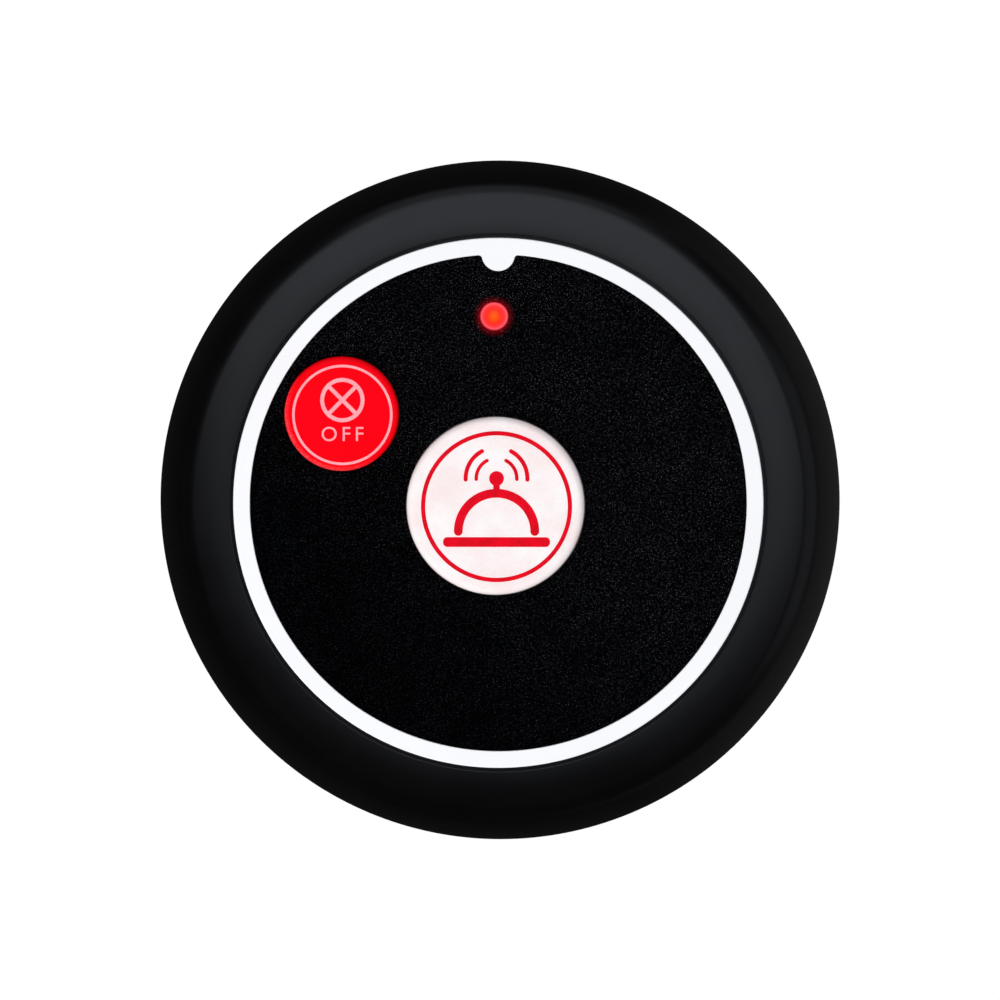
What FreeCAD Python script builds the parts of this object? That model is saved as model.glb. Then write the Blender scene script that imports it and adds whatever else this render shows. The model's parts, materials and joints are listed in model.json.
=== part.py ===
import FreeCAD, Part
import math
import os
import re

import Sketcher

# Wireless table call button: a round black puck with a big white call key, a small red cancel key
# and a red lamp on a textured black face inside a white rim. Millimetres, +Z up, origin on the
# table under the centre. The face's top edge points along +Y.

SIZES = {
    # outer shells
    "body_radius": 37.0,
    "seam_level": 7.8,
    "seam_gap": 0.3,
    "side_curve": 18.0,
    "shoulder_curve": 3.0,
    "crown_curve": 30.0,
    "shoulder_low_radius": 35.0,
    "shoulder_top_radius": 33.0,
    "crown_edge_radius": 29.5,
    "crown_edge_level": 15.8,
    "recess_radius": 29.35,
    "lip_break": 0.15,
    "upper_wall_radius": 35.3,
    "shelf_radius": 27.8,
    "shelf_bottom": 12.8,
    "shelf_band_radius": 30.9,
    "core_level": 13.8,
    "core_turn_radius": 32.9,
    "core_turn_level": 13.7,
    "core_low_radius": 33.9,
    "wall_start_level": 9.4,
    "belly_curve": 11.0,
    "belly_top_radius": 36.75,
    "skirt_radius": 33.6,
    "skirt_bottom": 1.2,
    "skirt_round": 0.4,
    "cavity_radius": 34.1,
    "lip_radius": 35.1,
    "lip_top": 9.1,
    "floor_bottom": 4.9,
    "floor_top": 6.3,
    # shell screws and their bosses
    "boss_circle": 31.0,
    "boss_count": 3,
    "boss_radius": 2.6,
    "boss_joint": 8.1,
    "boss_top": 13.9,
    "screw_tube_radius": 3.3,
    "gusset_thickness": 0.9,
    "gusset_foot": 9.6,
    "gusset_top": 13.5,
    "gusset_reach": 35.6,
    "gusset_top_reach": 34.4,
    "head_recess_radius": 2.25,
    "head_seat": 6.5,
    "shank_clear_radius": 1.25,
    "shank_radius": 1.1,
    "thread_radius": 1.12,
    "thread_top": 13.0,
    "shank_top": 12.5,
    "head_radius": 2.0,
    "head_height": 1.4,
    "drive_share": 1.1,
    "drive_width": 0.6,
    "drive_depth": 0.8,
    # bayonet between the rear shell and the base
    "ledge_radius": 31.7,
    "ledge_top": 3.2,
    "channel_radius": 33.1,
    "lug_count": 3,
    "lug_angle": 30.0,
    "lug_half_angle": 9.0,
    "lug_radius": 32.8,
    "lug_bottom": 3.4,
    "twist": 20.0,
    "entry_half_angle": 10.5,
    "stop_half_angle": 1.6,
    "stop_play": 0.6,
    # base
    "base_radius": 31.2,
    "base_bottom": 0.6,
    "base_top": 2.0,
    "base_wall_radius": 29.4,
    "base_wall_top": 4.6,
    "base_round": 0.35,
    "pad_inner_radius": 20.4,
    "pad_outer_radius": 28.0,
    "pad_play": 0.2,
    "pad_height": 1.0,
    "mount_offset": 14.0,
    "mount_hole_radius": 1.9,
    "mount_head_radius": 3.6,
    "mount_boss_radius": 4.5,
    "mount_seat": 1.8,
    "mount_boss_top": 3.0,
    "grip_inner_radius": 10.5,
    "grip_outer_radius": 17.5,
    "grip_half_angle": 30.0,
    "grip_depth": 0.6,
    # white disc and the printed face on it
    "trim_radius": 28.82,
    "trim_bottom": 14.1,
    "trim_top": 15.9,
    "trim_round": 0.12,
    "overlay_radius": 26.98,
    "overlay_floor": 15.5,
    "overlay_thickness": 0.3,
    "overlay_play": 0.04,
    "overlay_hole_play": 0.1,
    "key_radius": 1.8,
    "key_corner": 0.4,
    "hook_count": 4,
    "hook_angle": 15.0,
    "hook_inner": 26.3,
    "hook_outer": 27.5,
    "hook_reach": 28.5,
    "hook_bottom": 11.6,
    "hook_catch": 12.7,
    "hook_width": 5.0,
    "hook_land": 0.4,
    "stop_key_angle": 60.0,
    "stop_key_width": 2.6,
    "stop_key_inner": 27.3,
    "stop_key_outer": 28.6,
    "stop_key_bottom": 12.9,
    "stop_key_play": 0.15,
    # keys
    "key_play": 0.25,
    "rest_gap": 0.1,
    "roof_level": 15.4,
    "rib_level": 14.2,
    "rib_width": 0.9,
    "stem_radius": 1.6,
    "stem_room": 2.2,
    "flange_bottom": 12.9,
    "sleeve_play": 0.3,
    "sleeve_depth": 1.9,
    "tab_width": 2.4,
    "tab_play": 0.25,
    "call_x": -0.29,
    "call_y": -0.3,
    "call_radius": 9.65,
    "call_top": 16.9,
    "call_bevel": 0.58,
    "call_flange": 10.9,
    "call_cavity": 8.3,
    "call_tab_reach": 12.0,
    "call_sleeve_wall": 1.0,
    "cancel_x": -16.99,
    "cancel_y": 9.68,
    "cancel_radius": 6.2,
    "cancel_top": 16.7,
    "cancel_bevel": 0.58,
    "cancel_flange": 7.05,
    "cancel_cavity": 4.9,
    "cancel_tab_reach": 7.9,
    "cancel_sleeve_wall": 0.75,
    # circuit board
    "board_radius": 28.0,
    "board_bottom": 8.5,
    "board_thickness": 1.6,
    "board_cut": -9.9,
    "board_screw_circle": 24.5,
    "board_boss_radius": 2.6,
    "board_screw_radius": 0.95,
    "board_hole_radius": 1.2,
    "board_pilot_radius": 0.97,
    "board_head_radius": 1.9,
    "board_head_height": 1.2,
    "board_shank_length": 3.0,
    "tail_depth": 0.9,
    "tail_slot_half": 0.4,
    "pin_hole_radius": 0.5,
    # click switches under the keys
    "switch_width": 6.0,
    "switch_case_height": 3.3,
    "switch_cover": 0.2,
    "cover_width": 5.8,
    "switch_height": 5.0,
    "plunger_radius": 1.7,
    "plunger_flange": 2.3,
    "plunger_bore": 1.85,
    "nib_radius": 1.0,
    "nib_height": 0.6,
    "collar_lift": 0.4,
    "case_bore": 2.6,
    "case_floor": 0.9,
    "dome_radius": 2.3,
    "dome_rise": 0.6,
    "dome_sheet": 0.1,
    "switch_pin_reach": 3.25,
    "switch_pin_pitch": 4.5,
    "switch_pin_width": 0.6,
    "switch_pin_thickness": 0.3,
    "switch_pin_rise": 0.9,
    # lamp
    "lamp_x": -0.46,
    "lamp_y": 20.25,
    "lamp_radius": 1.5,
    "lamp_flange": 1.9,
    "lamp_base": 10.7,
    "lamp_flange_height": 1.0,
    "lamp_height": 5.3,
    "lamp_hole": 1.62,
    "collar_inner": 1.95,
    "collar_outer": 2.8,
    "collar_depth": 1.6,
    "lead_pitch": 2.54,
    "lead_width": 0.45,
    # radio parts
    "chip_x": 5.5,
    "chip_y": 15.4,
    "chip_width": 3.9,
    "chip_length": 4.9,
    "chip_height": 1.4,
    "chip_stand": 0.2,
    "chip_lead_pitch": 1.27,
    "chip_lead_width": 0.42,
    "chip_lead_sheet": 0.2,
    "chip_span": 6.0,
    "chip_foot": 0.6,
    "chip_row": 4,
    "chip_mark_inset": 0.8,
    "chip_mark_radius": 0.3,
    "chip_mark_depth": 0.1,
    "resonator_x": 14.5,
    "resonator_y": 12.5,
    "resonator_radius": 4.2,
    "resonator_flange": 4.6,
    "resonator_height": 3.1,
    "resonator_stand": 0.2,
    "resonator_flange_height": 0.4,
    "resonator_round": 0.5,
    "resonator_pin_circle": 2.5,
    "resonator_pin_radius": 0.23,
    "transistor_x": 20.8,
    "transistor_y": 2.9,
    "transistor_width": 1.3,
    "transistor_length": 2.9,
    "transistor_height": 1.0,
    "transistor_stand": 0.1,
    "transistor_lead_x": 0.9,
    "transistor_lead_y": 0.95,
    "transistor_lead_length": 0.8,
    "transistor_lead_width": 0.4,
    "transistor_lead_sheet": 0.15,
    "winding_lift": 0.15,
    "antenna_x": 13.8,
    "antenna_y": -5.4,
    "antenna_radius": 1.5,
    "antenna_wire": 0.6,
    "antenna_pitch": 1.7,
    "antenna_turns": 5,
    "coil_x": 18.9,
    "coil_y": -1.5,
    "coil_radius": 1.3,
    "coil_wire": 0.5,
    "coil_pitch": 1.2,
    "coil_turns": 3,
    "passive_length": 2.0,
    "passive_width": 1.25,
    "passive_height": 0.6,
    "passive_end": 0.4,
    "passive_pitch": 2.4,
    # battery, its bay and contacts
    "cell_radius": 5.05,
    "jacket_radius": 5.15,
    "cell_left": -12.4,
    "cell_length": 28.5,
    "cell_nub_radius": 1.7,
    "cell_nub_height": 1.0,
    "cell_edge": 0.5,
    "cell_axis_y": -17.0,
    "cell_axis_z": 7.4,
    "bay_half_length": 16.7,
    "bay_end_wall": 1.2,
    "bay_radius": 5.4,
    "bay_shell_radius": 6.4,
    "contact_sheet": 0.4,
    "contact_slot": 0.7,
    "slot_play": 0.2,
    "slot_start": 2.3,
    "contact_low": 3.4,
    "contact_half_width": 3.8,
    "contact_shoulder": 9.6,
    "contact_crown": 2.0,
    "blade_bottom": 10.9,
    "blade_top": 12.0,
    "blade_end": -7.6,
    "tail_width": 0.9,
    "tail_tip": 7.6,
    "dimple_radius": 1.6,
    "dimple_height": 0.2,
    "spring_large_radius": 3.6,
    "spring_small_radius": 2.3,
    "spring_wire": 0.5,
    "spring_turns": 3,
    # how far a joined feature runs into what carries it, and a cut past the face that it opens
    "overlap": 0.2,
    "cut_past": 0.5,
}

doc = FreeCAD.newDocument("call_button")
sheet = doc.addObject("Spreadsheet::Sheet", "sizes")


def fill_sheet():
    """Writes each driving dimension beside its name."""
    for row, (name, number) in enumerate(SIZES.items(), 1):
        sheet.set(f"A{row}", name)
        sheet.set(f"B{row}", str(number))
        sheet.setAlias(f"B{row}", name)
    doc.recompute()


def cells(text):
    """An expression in which every name of a size points at its cell."""
    return re.sub(r"[a-z_]+", lambda word: f"sizes.{word[0]}" if word[0] in SIZES else word[0], str(text))


def value(text):
    """The number that an expression has now."""
    return float(sheet.evalExpression(cells(text)))


def bind(item, **links):
    """Ties properties to expressions. A double underscore in a name stands for a dot."""
    for name, text in links.items():
        item.setExpression(name.replace("__", "."), cells(text))
    return item


def vector(x, y, z=0.0):
    return FreeCAD.Vector(x, y, z)


# Sketches

def origin_part(body, role):
    return next(item for item in body.Origin.OriginFeatures if item.Role == role)


def new_sketch(body, name, plane="XY_Plane", offset=None):
    """A sketch on one of the body's own planes, moved along the plane's normal by offset."""
    sketch = body.newObject("Sketcher::SketchObject", name)
    sketch.AttachmentSupport = (origin_part(body, plane), "")
    sketch.MapMode = "FlatFace"
    if offset is not None:
        bind(sketch, AttachmentOffset__Base__z=offset)
    return sketch


def pin_point(sketch, shape, end, x, y):
    """Holds one point of a shape at (x, y)."""
    for kind, axis, text in (("DistanceX", -2, x), ("DistanceY", -1, y)):
        number = value(text)
        if abs(number) < 1e-9:
            sketch.addConstraint(Sketcher.Constraint("PointOnObject", shape, end, axis))
            continue
        index = sketch.addConstraint(Sketcher.Constraint(kind, -1, 1, shape, end, number))
        sketch.setExpression(f"Constraints[{index}]", cells(text))


def hold_radius(sketch, shape, radius):
    index = sketch.addConstraint(Sketcher.Constraint("Radius", shape, value(radius)))
    sketch.setExpression(f"Constraints[{index}]", cells(radius))


def circle(sketch, x, y, radius):
    shape = sketch.addGeometry(Part.Circle(vector(value(x), value(y)), vector(0, 0, 1), value(radius)), False)
    pin_point(sketch, shape, 3, x, y)
    hold_radius(sketch, shape, radius)


def arc_between(start, end, radius, turn):
    """The short arc from start to end. turn is 1 where it runs anticlockwise, and -1 clockwise."""
    chord = end - start
    rise = math.sqrt(max(radius**2 - (chord.Length / 2) ** 2, 0.0))
    across = vector(-chord.y, chord.x).normalize()
    centre = (start + end) / 2 + across * rise * turn
    first, last = (start, end) if turn > 0 else (end, start)
    angles = [math.atan2(p.y - centre.y, p.x - centre.x) for p in (first, last)]
    ring = Part.Circle(centre, vector(0, 0, 1), radius)
    return Part.ArcOfCircle(ring, angles[0], angles[1])


def outline(sketch, points, arcs=None):
    """A closed outline through the points. arcs gives (radius, turn) for the edge that leaves a point."""
    arcs = arcs or {}
    places = [vector(value(x), value(y)) for x, y in points]
    edges = []
    for i, start in enumerate(places):
        end = places[(i + 1) % len(places)]
        if i in arcs:
            radius, turn = arcs[i]
            shape = sketch.addGeometry(arc_between(start, end, value(radius), turn), False)
            edges.append((shape, 1, 2) if turn > 0 else (shape, 2, 1))
        else:
            edges.append((sketch.addGeometry(Part.LineSegment(start, end), False), 1, 2))
    for i, (shape, head, tail) in enumerate(edges):
        after = edges[(i + 1) % len(edges)]
        sketch.addConstraint(Sketcher.Constraint("Coincident", shape, tail, after[0], after[1]))
        pin_point(sketch, shape, head, *points[i])
    for i, (radius, turn) in arcs.items():
        hold_radius(sketch, edges[i][0], radius)


def rectangle(sketch, left, right, low, high):
    outline(sketch, [(left, low), (right, low), (right, high), (left, high)])


def ring_sector(sketch, inner, outer, middle, half):
    """A piece of a ring about the origin, from middle - half to middle + half degrees."""
    start, end = f"({middle} - {half})", f"({middle} + {half})"
    corners = [
        (f"{inner} * cos({start})", f"{inner} * sin({start})"),
        (f"{outer} * cos({start})", f"{outer} * sin({start})"),
        (f"{outer} * cos({end})", f"{outer} * sin({end})"),
        (f"{inner} * cos({end})", f"{inner} * sin({end})"),
    ]
    outline(sketch, corners, {1: (outer, 1), 3: (inner, -1)})


# Features

def new_body(name):
    body = doc.addObject("PartDesign::Body", name)
    body.Label = name
    return body


def volume(body):
    doc.recompute()
    return 0.0 if body.Shape.isNull() else body.Shape.Volume


def add(body, kind, name, sketch, **links):
    feature = body.newObject(f"PartDesign::{kind}", name)
    feature.Profile = sketch
    bind(feature, **links)
    return feature


def pad(body, sketch, length, down=False, both=False):
    before = volume(body)
    feature = add(body, "Pad", f"{sketch.Name}_pad", sketch, Length=length)
    feature.Reversed = down
    feature.Midplane = both
    if volume(body) <= before:
        raise ValueError(f"{feature.Name} adds nothing")
    return feature


def pocket(body, sketch, depth, up=False, both=False):
    """Cuts the sketch out, below its plane or above it."""
    before = volume(body)
    feature = add(body, "Pocket", f"{sketch.Name}_cut", sketch, Length=depth)
    feature.Reversed = up
    feature.Midplane = both
    if volume(body) >= before:
        raise ValueError(f"{feature.Name} cuts nothing")
    return feature


def turned(body, sketch):
    """Turns a half section about the sketch's upright axis."""
    feature = add(body, "Revolution", f"{sketch.Name}_turned", sketch)
    feature.ReferenceAxis = (sketch, ["V_Axis"])
    feature.Angle = 360.0
    doc.recompute()
    return feature


def around(body, features, count):
    """Repeats features round the body's upright axis."""
    pattern = body.newObject("PartDesign::PolarPattern", f"{features[0].Name}_around")
    pattern.Originals = features
    pattern.Axis = (origin_part(body, "Z_Axis"), [""])
    pattern.Angle = 360.0
    bind(pattern, Occurrences=count)
    body.Tip = pattern
    doc.recompute()
    return pattern


def ring_edges(shape, radius, level, x=0.0, y=0.0):
    """Names of the full circles of that radius, at that level, about the upright line through (x, y)."""
    names = []
    for i, edge in enumerate(shape.Edges, 1):
        curve = edge.Curve
        if not isinstance(curve, Part.Circle):
            continue
        off_axis = math.hypot(curve.Center.x - x, curve.Center.y - y)
        if off_axis + abs(curve.Radius - radius) + abs(curve.Center.z - level) < 1e-4:
            names.append(f"Edge{i}")
    return names


def ease_ring(body, radius, level, size, x="0", y="0", bevel=False):
    """Rounds the circular edges at a radius and level, or bevels them."""
    base = body.Tip
    names = ring_edges(base.Shape, value(radius), value(level), value(x), value(y))
    if not names:
        raise ValueError(f"{body.Name} has no round edge of radius {radius} at {level}")
    kind, measure = ("Chamfer", "Size") if bevel else ("Fillet", "Radius")
    feature = body.newObject(f"PartDesign::{kind}", f"{body.Name}_{kind.lower()}")
    feature.Base = (base, names)
    bind(feature, **{measure: size})
    doc.recompute()
    return feature


# Simple solids for small parts

def block(name, x, y, bottom, size_x, size_y, height):
    """A box with its middle at (x, y)."""
    box = doc.addObject("Part::Box", name)
    bind(box, Length=size_x, Width=size_y, Height=height)
    return bind(
        box,
        Placement__Base__x=f"({x}) - ({size_x}) / 2",
        Placement__Base__y=f"({y}) - ({size_y}) / 2",
        Placement__Base__z=bottom,
    )


def rod(name, x, y, bottom, radius, height):
    cylinder = doc.addObject("Part::Cylinder", name)
    bind(cylinder, Radius=radius, Height=height)
    return bind(cylinder, Placement__Base__x=x, Placement__Base__y=y, Placement__Base__z=bottom)


def cut(name, base, tool):
    result = doc.addObject("Part::Cut", name)
    result.Base, result.Tool = base, tool
    return result


def joined(name, shapes):
    """Several overlapping or touching shapes as one solid."""
    result = doc.addObject("Part::MultiFuse", name)
    result.Shapes = shapes
    return result


def group(name, shapes):
    """Separate identical pieces kept together."""
    result = doc.addObject("Part::Compound", name)
    result.Links = shapes
    return result


# Shells

def upper_housing():
    """Black bezel shell: a drafted side, a round shoulder and a gently falling crown round the face."""
    body = new_body("upper_housing")
    section = new_sketch(body, "bezel_section", "XZ_Plane")
    seam_top = "seam_level + seam_gap"
    side_start = ("body_radius", seam_top)
    # The arcs start from rough levels, and their tangencies then settle where they meet.
    rough_side, rough_shoulder = 13.8, 15.3
    guesses = [
        vector(value(side_start[0]), value(side_start[1])),
        vector(value("shoulder_low_radius"), rough_side),
        vector(value("shoulder_top_radius"), rough_shoulder),
        vector(value("crown_edge_radius"), value("crown_edge_level")),
    ]
    radii = ["side_curve", "shoulder_curve", "crown_curve"]
    arcs = []
    for start, end, radius in zip(guesses, guesses[1:], radii):
        arcs.append(section.addGeometry(arc_between(start, end, value(radius), 1), False))
    inner = [
        ("crown_edge_radius", "crown_edge_level"),
        ("recess_radius", "crown_edge_level - lip_break"),
        ("recess_radius", "trim_bottom"),
        ("shelf_radius", "trim_bottom"),
        ("shelf_radius", "shelf_bottom"),
        ("shelf_band_radius", "shelf_bottom"),
        ("shelf_band_radius", "core_level"),
        ("core_turn_radius", "core_turn_level"),
        ("core_low_radius", "shelf_bottom"),
        ("upper_wall_radius", "wall_start_level"),
        ("upper_wall_radius", seam_top),
        side_start,
    ]
    places = [vector(value(x), value(y)) for x, y in inner]
    lines = [section.addGeometry(Part.LineSegment(a, b), False) for a, b in zip(places, places[1:])]
    for shape, place in zip(lines, inner):
        pin_point(section, shape, 1, *place)
    pin_point(section, lines[-1], 2, *side_start)
    chain = [(arcs[-1], 2)] + [(shape, 2) for shape in lines[:-1]]
    for (before, end), after in zip(chain, lines):
        section.addConstraint(Sketcher.Constraint("Coincident", before, end, after, 1))
    section.addConstraint(Sketcher.Constraint("Coincident", lines[-1], 2, arcs[0], 1))
    for before, after in zip(arcs, arcs[1:]):
        section.addConstraint(Sketcher.Constraint("Tangent", before, 2, after, 1))
    for shape, radius in zip(arcs, radii):
        hold_radius(section, shape, radius)
    for shape, radius in ((arcs[0], "shoulder_low_radius"), (arcs[1], "shoulder_top_radius")):
        index = section.addConstraint(Sketcher.Constraint("DistanceX", -1, 1, shape, 2, value(radius)))
        section.setExpression(f"Constraints[{index}]", cells(radius))
    turned(body, section)

    bosses = new_sketch(body, "bezel_boss", offset="boss_joint")
    circle(bosses, "0", "boss_circle", "boss_radius")
    boss = pad(body, bosses, "boss_top - boss_joint")
    around(body, [boss], "boss_count")
    threads = new_sketch(body, "bezel_thread", offset="boss_joint")
    circle(threads, "0", "boss_circle", "thread_radius")
    thread = pocket(body, threads, "thread_top - boss_joint", up=True)
    around(body, [thread], "boss_count")
    gussets = new_sketch(body, "bezel_gusset", "YZ_Plane")
    corners = [
        ("boss_circle + boss_radius - overlap", "gusset_foot"),
        ("gusset_reach", "gusset_foot"),
        ("gusset_top_reach", "shelf_bottom"),
        ("boss_circle + boss_radius - overlap", "gusset_top"),
    ]
    outline(gussets, corners)
    gusset = pad(body, gussets, "gusset_thickness", both=True)
    around(body, [gusset], "boss_count")
    turn_slot = new_sketch(body, "bezel_key_slot", offset="shelf_bottom")
    key_block(turn_slot, "shelf_radius - cut_past", "stop_key_play")
    pocket(body, turn_slot, "trim_bottom - shelf_bottom", up=True)
    return body


def key_block(sketch, inner, play):
    """A radial block from the inner radius out, which keeps the white disc from turning in the bezel."""
    half, outer = f"(stop_key_width / 2 + {play})", f"(stop_key_outer + {play})"
    along, across = "cos(stop_key_angle)", "sin(stop_key_angle)"
    corners = []
    for radius, side in ((inner, "-"), (outer, "-"), (outer, "+"), (inner, "+")):
        flip = "+" if side == "-" else "-"
        x = f"({radius}) * {along} {flip} {half} * {across}"
        y = f"({radius}) * {across} {side} {half} * {along}"
        corners.append((x, y))
    outline(sketch, corners)


def lower_housing():
    """Black rear shell: belly, floor, skirt with the bayonet ledges, battery bay and bosses."""
    body = new_body("lower_housing")
    section = new_sketch(body, "rear_section", "XZ_Plane")
    points = [
        ("belly_top_radius", "seam_level"),
        ("lip_radius", "seam_level"),
        ("lip_radius", "lip_top"),
        ("cavity_radius", "lip_top"),
        ("cavity_radius", "floor_top"),
        ("0", "floor_top"),
        ("0", "floor_bottom"),
        ("channel_radius", "floor_bottom"),
        ("channel_radius", "ledge_top"),
        ("ledge_radius", "ledge_top"),
        ("ledge_radius", "skirt_bottom"),
        ("skirt_radius", "skirt_bottom"),
    ]
    outline(section, points, {11: ("belly_curve", 1)})
    turned(body, section)
    ease_ring(body, "skirt_radius", "skirt_bottom", "skirt_round")

    entries = new_sketch(body, "rear_entry", offset="skirt_bottom - cut_past")
    inner, middle = "(ledge_radius - cut_past)", "(lug_angle - twist)"
    ring_sector(entries, inner, "channel_radius", middle, "entry_half_angle")
    entry = pocket(body, entries, "ledge_top - skirt_bottom + cut_past", up=True)
    around(body, [entry], "lug_count")

    stops = new_sketch(body, "rear_stop", offset="ledge_top")
    locked_stop = "(lug_angle + lug_half_angle + stop_half_angle + stop_play)"
    ring_sector(stops, "ledge_radius", "(channel_radius + overlap)", locked_stop, "stop_half_angle")
    free_stop = "(lug_angle - twist - lug_half_angle - stop_half_angle - stop_play)"
    ring_sector(stops, "ledge_radius", "(channel_radius + overlap)", free_stop, "stop_half_angle")
    stop = pad(body, stops, "floor_bottom - ledge_top")
    around(body, [stop], "lug_count")

    bay = new_sketch(body, "rear_bay", "YZ_Plane")
    arch(bay, "bay_shell_radius", "floor_bottom")
    pad(body, bay, "2 * (bay_half_length + bay_end_wall)", both=True)
    hollow = new_sketch(body, "rear_bay_hollow", "YZ_Plane")
    arch(hollow, "bay_radius", "skirt_bottom")
    pocket(body, hollow, "2 * bay_half_length", both=True)
    slots = new_sketch(body, "rear_contact_slot", "XZ_Plane", offset="-(cell_axis_y + slot_start)")
    middle = "(bay_half_length - contact_sheet / 2)"
    for side in ("", "-"):
        edges = [f"{side}{middle} - contact_slot / 2", f"{side}{middle} + contact_slot / 2"]
        rectangle(slots, *edges, "blade_bottom - slot_play", "blade_top + slot_play")
    pocket(body, slots, "bay_shell_radius - slot_start + overlap")

    tubes = new_sketch(body, "rear_screw_tube", offset="floor_bottom")
    circle(tubes, "0", "boss_circle", "screw_tube_radius")
    tube = pad(body, tubes, "boss_joint - floor_bottom")
    around(body, [tube], "boss_count")
    recesses = new_sketch(body, "rear_head_recess", offset="floor_bottom")
    circle(recesses, "0", "boss_circle", "head_recess_radius")
    recess = pocket(body, recesses, "head_seat - floor_bottom", up=True)
    around(body, [recess], "boss_count")
    clears = new_sketch(body, "rear_shank_hole", offset="head_seat")
    circle(clears, "0", "boss_circle", "shank_clear_radius")
    clear = pocket(body, clears, "boss_joint - head_seat", up=True)
    around(body, [clear], "boss_count")

    posts = new_sketch(body, "rear_board_post", offset="floor_top - overlap")
    pilots = new_sketch(body, "rear_board_pilot", offset="board_bottom")
    for x, y in BOARD_SCREWS:
        circle(posts, x, y, "board_boss_radius")
        circle(pilots, x, y, "board_pilot_radius")
    pad(body, posts, "board_bottom - floor_top + overlap")
    pocket(body, pilots, "board_bottom - floor_top")
    return body


def arch(sketch, radius, foot):
    """Section of the battery bay: straight walls from foot up to the cell's axis, and a half round above."""
    left, right = f"cell_axis_y - {radius}", f"cell_axis_y + {radius}"
    crown = f"cell_axis_z + {radius}"
    points = [
        (left, foot),
        (right, foot),
        (right, "cell_axis_z"),
        ("cell_axis_y", crown),
        (left, "cell_axis_z"),
    ]
    outline(sketch, points, {2: (radius, 1), 3: (radius, 1)})


TAB_SIDES = {"call": "+", "cancel": "-"}


def polar(circle_radius, angle):
    return f"{circle_radius} * cos({angle})", f"{circle_radius} * sin({angle})"


BOARD_SCREWS = [polar("board_screw_circle", angle) for angle in (20, 68, 184)]


def base_plate():
    """Black base that stays on the table: the shells twist off its three lugs."""
    body = new_body("base_plate")
    section = new_sketch(body, "base_section", "XZ_Plane")
    points = [
        ("0", "base_bottom"),
        ("pad_inner_radius - pad_play", "base_bottom"),
        ("pad_inner_radius - pad_play", "pad_height"),
        ("pad_outer_radius + pad_play", "pad_height"),
        ("pad_outer_radius + pad_play", "base_bottom"),
        ("base_radius", "base_bottom"),
        ("base_radius", "base_wall_top"),
        ("base_wall_radius", "base_wall_top"),
        ("base_wall_radius", "base_top"),
        ("0", "base_top"),
    ]
    outline(section, points)
    turned(body, section)
    ease_ring(body, "base_radius", "base_bottom", "base_round")

    lugs = new_sketch(body, "base_lug", offset="lug_bottom")
    ring_sector(lugs, "(base_radius - overlap)", "lug_radius", "lug_angle", "lug_half_angle")
    lug = pad(body, lugs, "base_wall_top - lug_bottom")
    around(body, [lug], "lug_count")

    bosses = new_sketch(body, "base_screw_boss", offset="base_top")
    seats = new_sketch(body, "base_head_seat", offset="mount_boss_top")
    holes = new_sketch(body, "base_screw_hole", offset="mount_boss_top")
    for x in ("mount_offset", "-mount_offset"):
        circle(bosses, x, "0", "mount_boss_radius")
        circle(seats, x, "0", "mount_head_radius")
        circle(holes, x, "0", "mount_hole_radius")
    pad(body, bosses, "mount_boss_top - base_top")
    pocket(body, seats, "mount_boss_top - mount_seat")
    pocket(body, holes, "mount_boss_top - base_bottom")

    grips = new_sketch(body, "base_finger_grip", offset="base_bottom")
    for middle in ("90", "270"):
        ring_sector(grips, "grip_inner_radius", "grip_outer_radius", middle, "grip_half_angle")
    pocket(body, grips, "grip_depth", up=True)
    return body


def anti_slip_ring():
    """Flat rubber ring glued in the base's groove."""
    body = new_body("anti_slip_ring")
    ring = new_sketch(body, "pad_ring")
    circle(ring, "0", "0", "pad_outer_radius")
    circle(ring, "0", "0", "pad_inner_radius")
    pad(body, ring, "pad_height")
    return body


# Face

def face_outline(sketch, play):
    """Round face with a half round notch in its top edge, whose corners are rounded."""
    rim = f"(overlay_radius - {play})"
    notch = f"(key_radius + {play})"
    corner = "key_corner"
    # The corner's arc touches the rim from inside and the notch from outside.
    reach_rim = f"({rim} - {corner})"
    reach_notch = f"({notch} + {corner})"
    height = f"(({reach_rim}^2 + overlay_radius^2 - {reach_notch}^2) / (2 * overlay_radius))"
    side = f"sqrt({reach_rim}^2 - {height}^2)"
    rim_x, rim_y = f"{side} * {rim} / {reach_rim}", f"{height} * {rim} / {reach_rim}"
    notch_x = f"{side} * {notch} / {reach_notch}"
    notch_y = f"overlay_radius - (overlay_radius - {height}) * {notch} / {reach_notch}"
    points = [
        (f"-{rim_x}", rim_y),
        (f"-{rim}", "0"),
        ("0", f"-{rim}"),
        (rim, "0"),
        (rim_x, rim_y),
        (notch_x, notch_y),
        ("0", f"overlay_radius - {notch}"),
        (f"-{notch_x}", notch_y),
    ]
    turns = {i: (rim, 1) for i in range(4)}
    turns.update({4: (corner, 1), 5: (notch, -1), 6: (notch, -1), 7: (corner, 1)})
    outline(sketch, points, turns)


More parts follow.
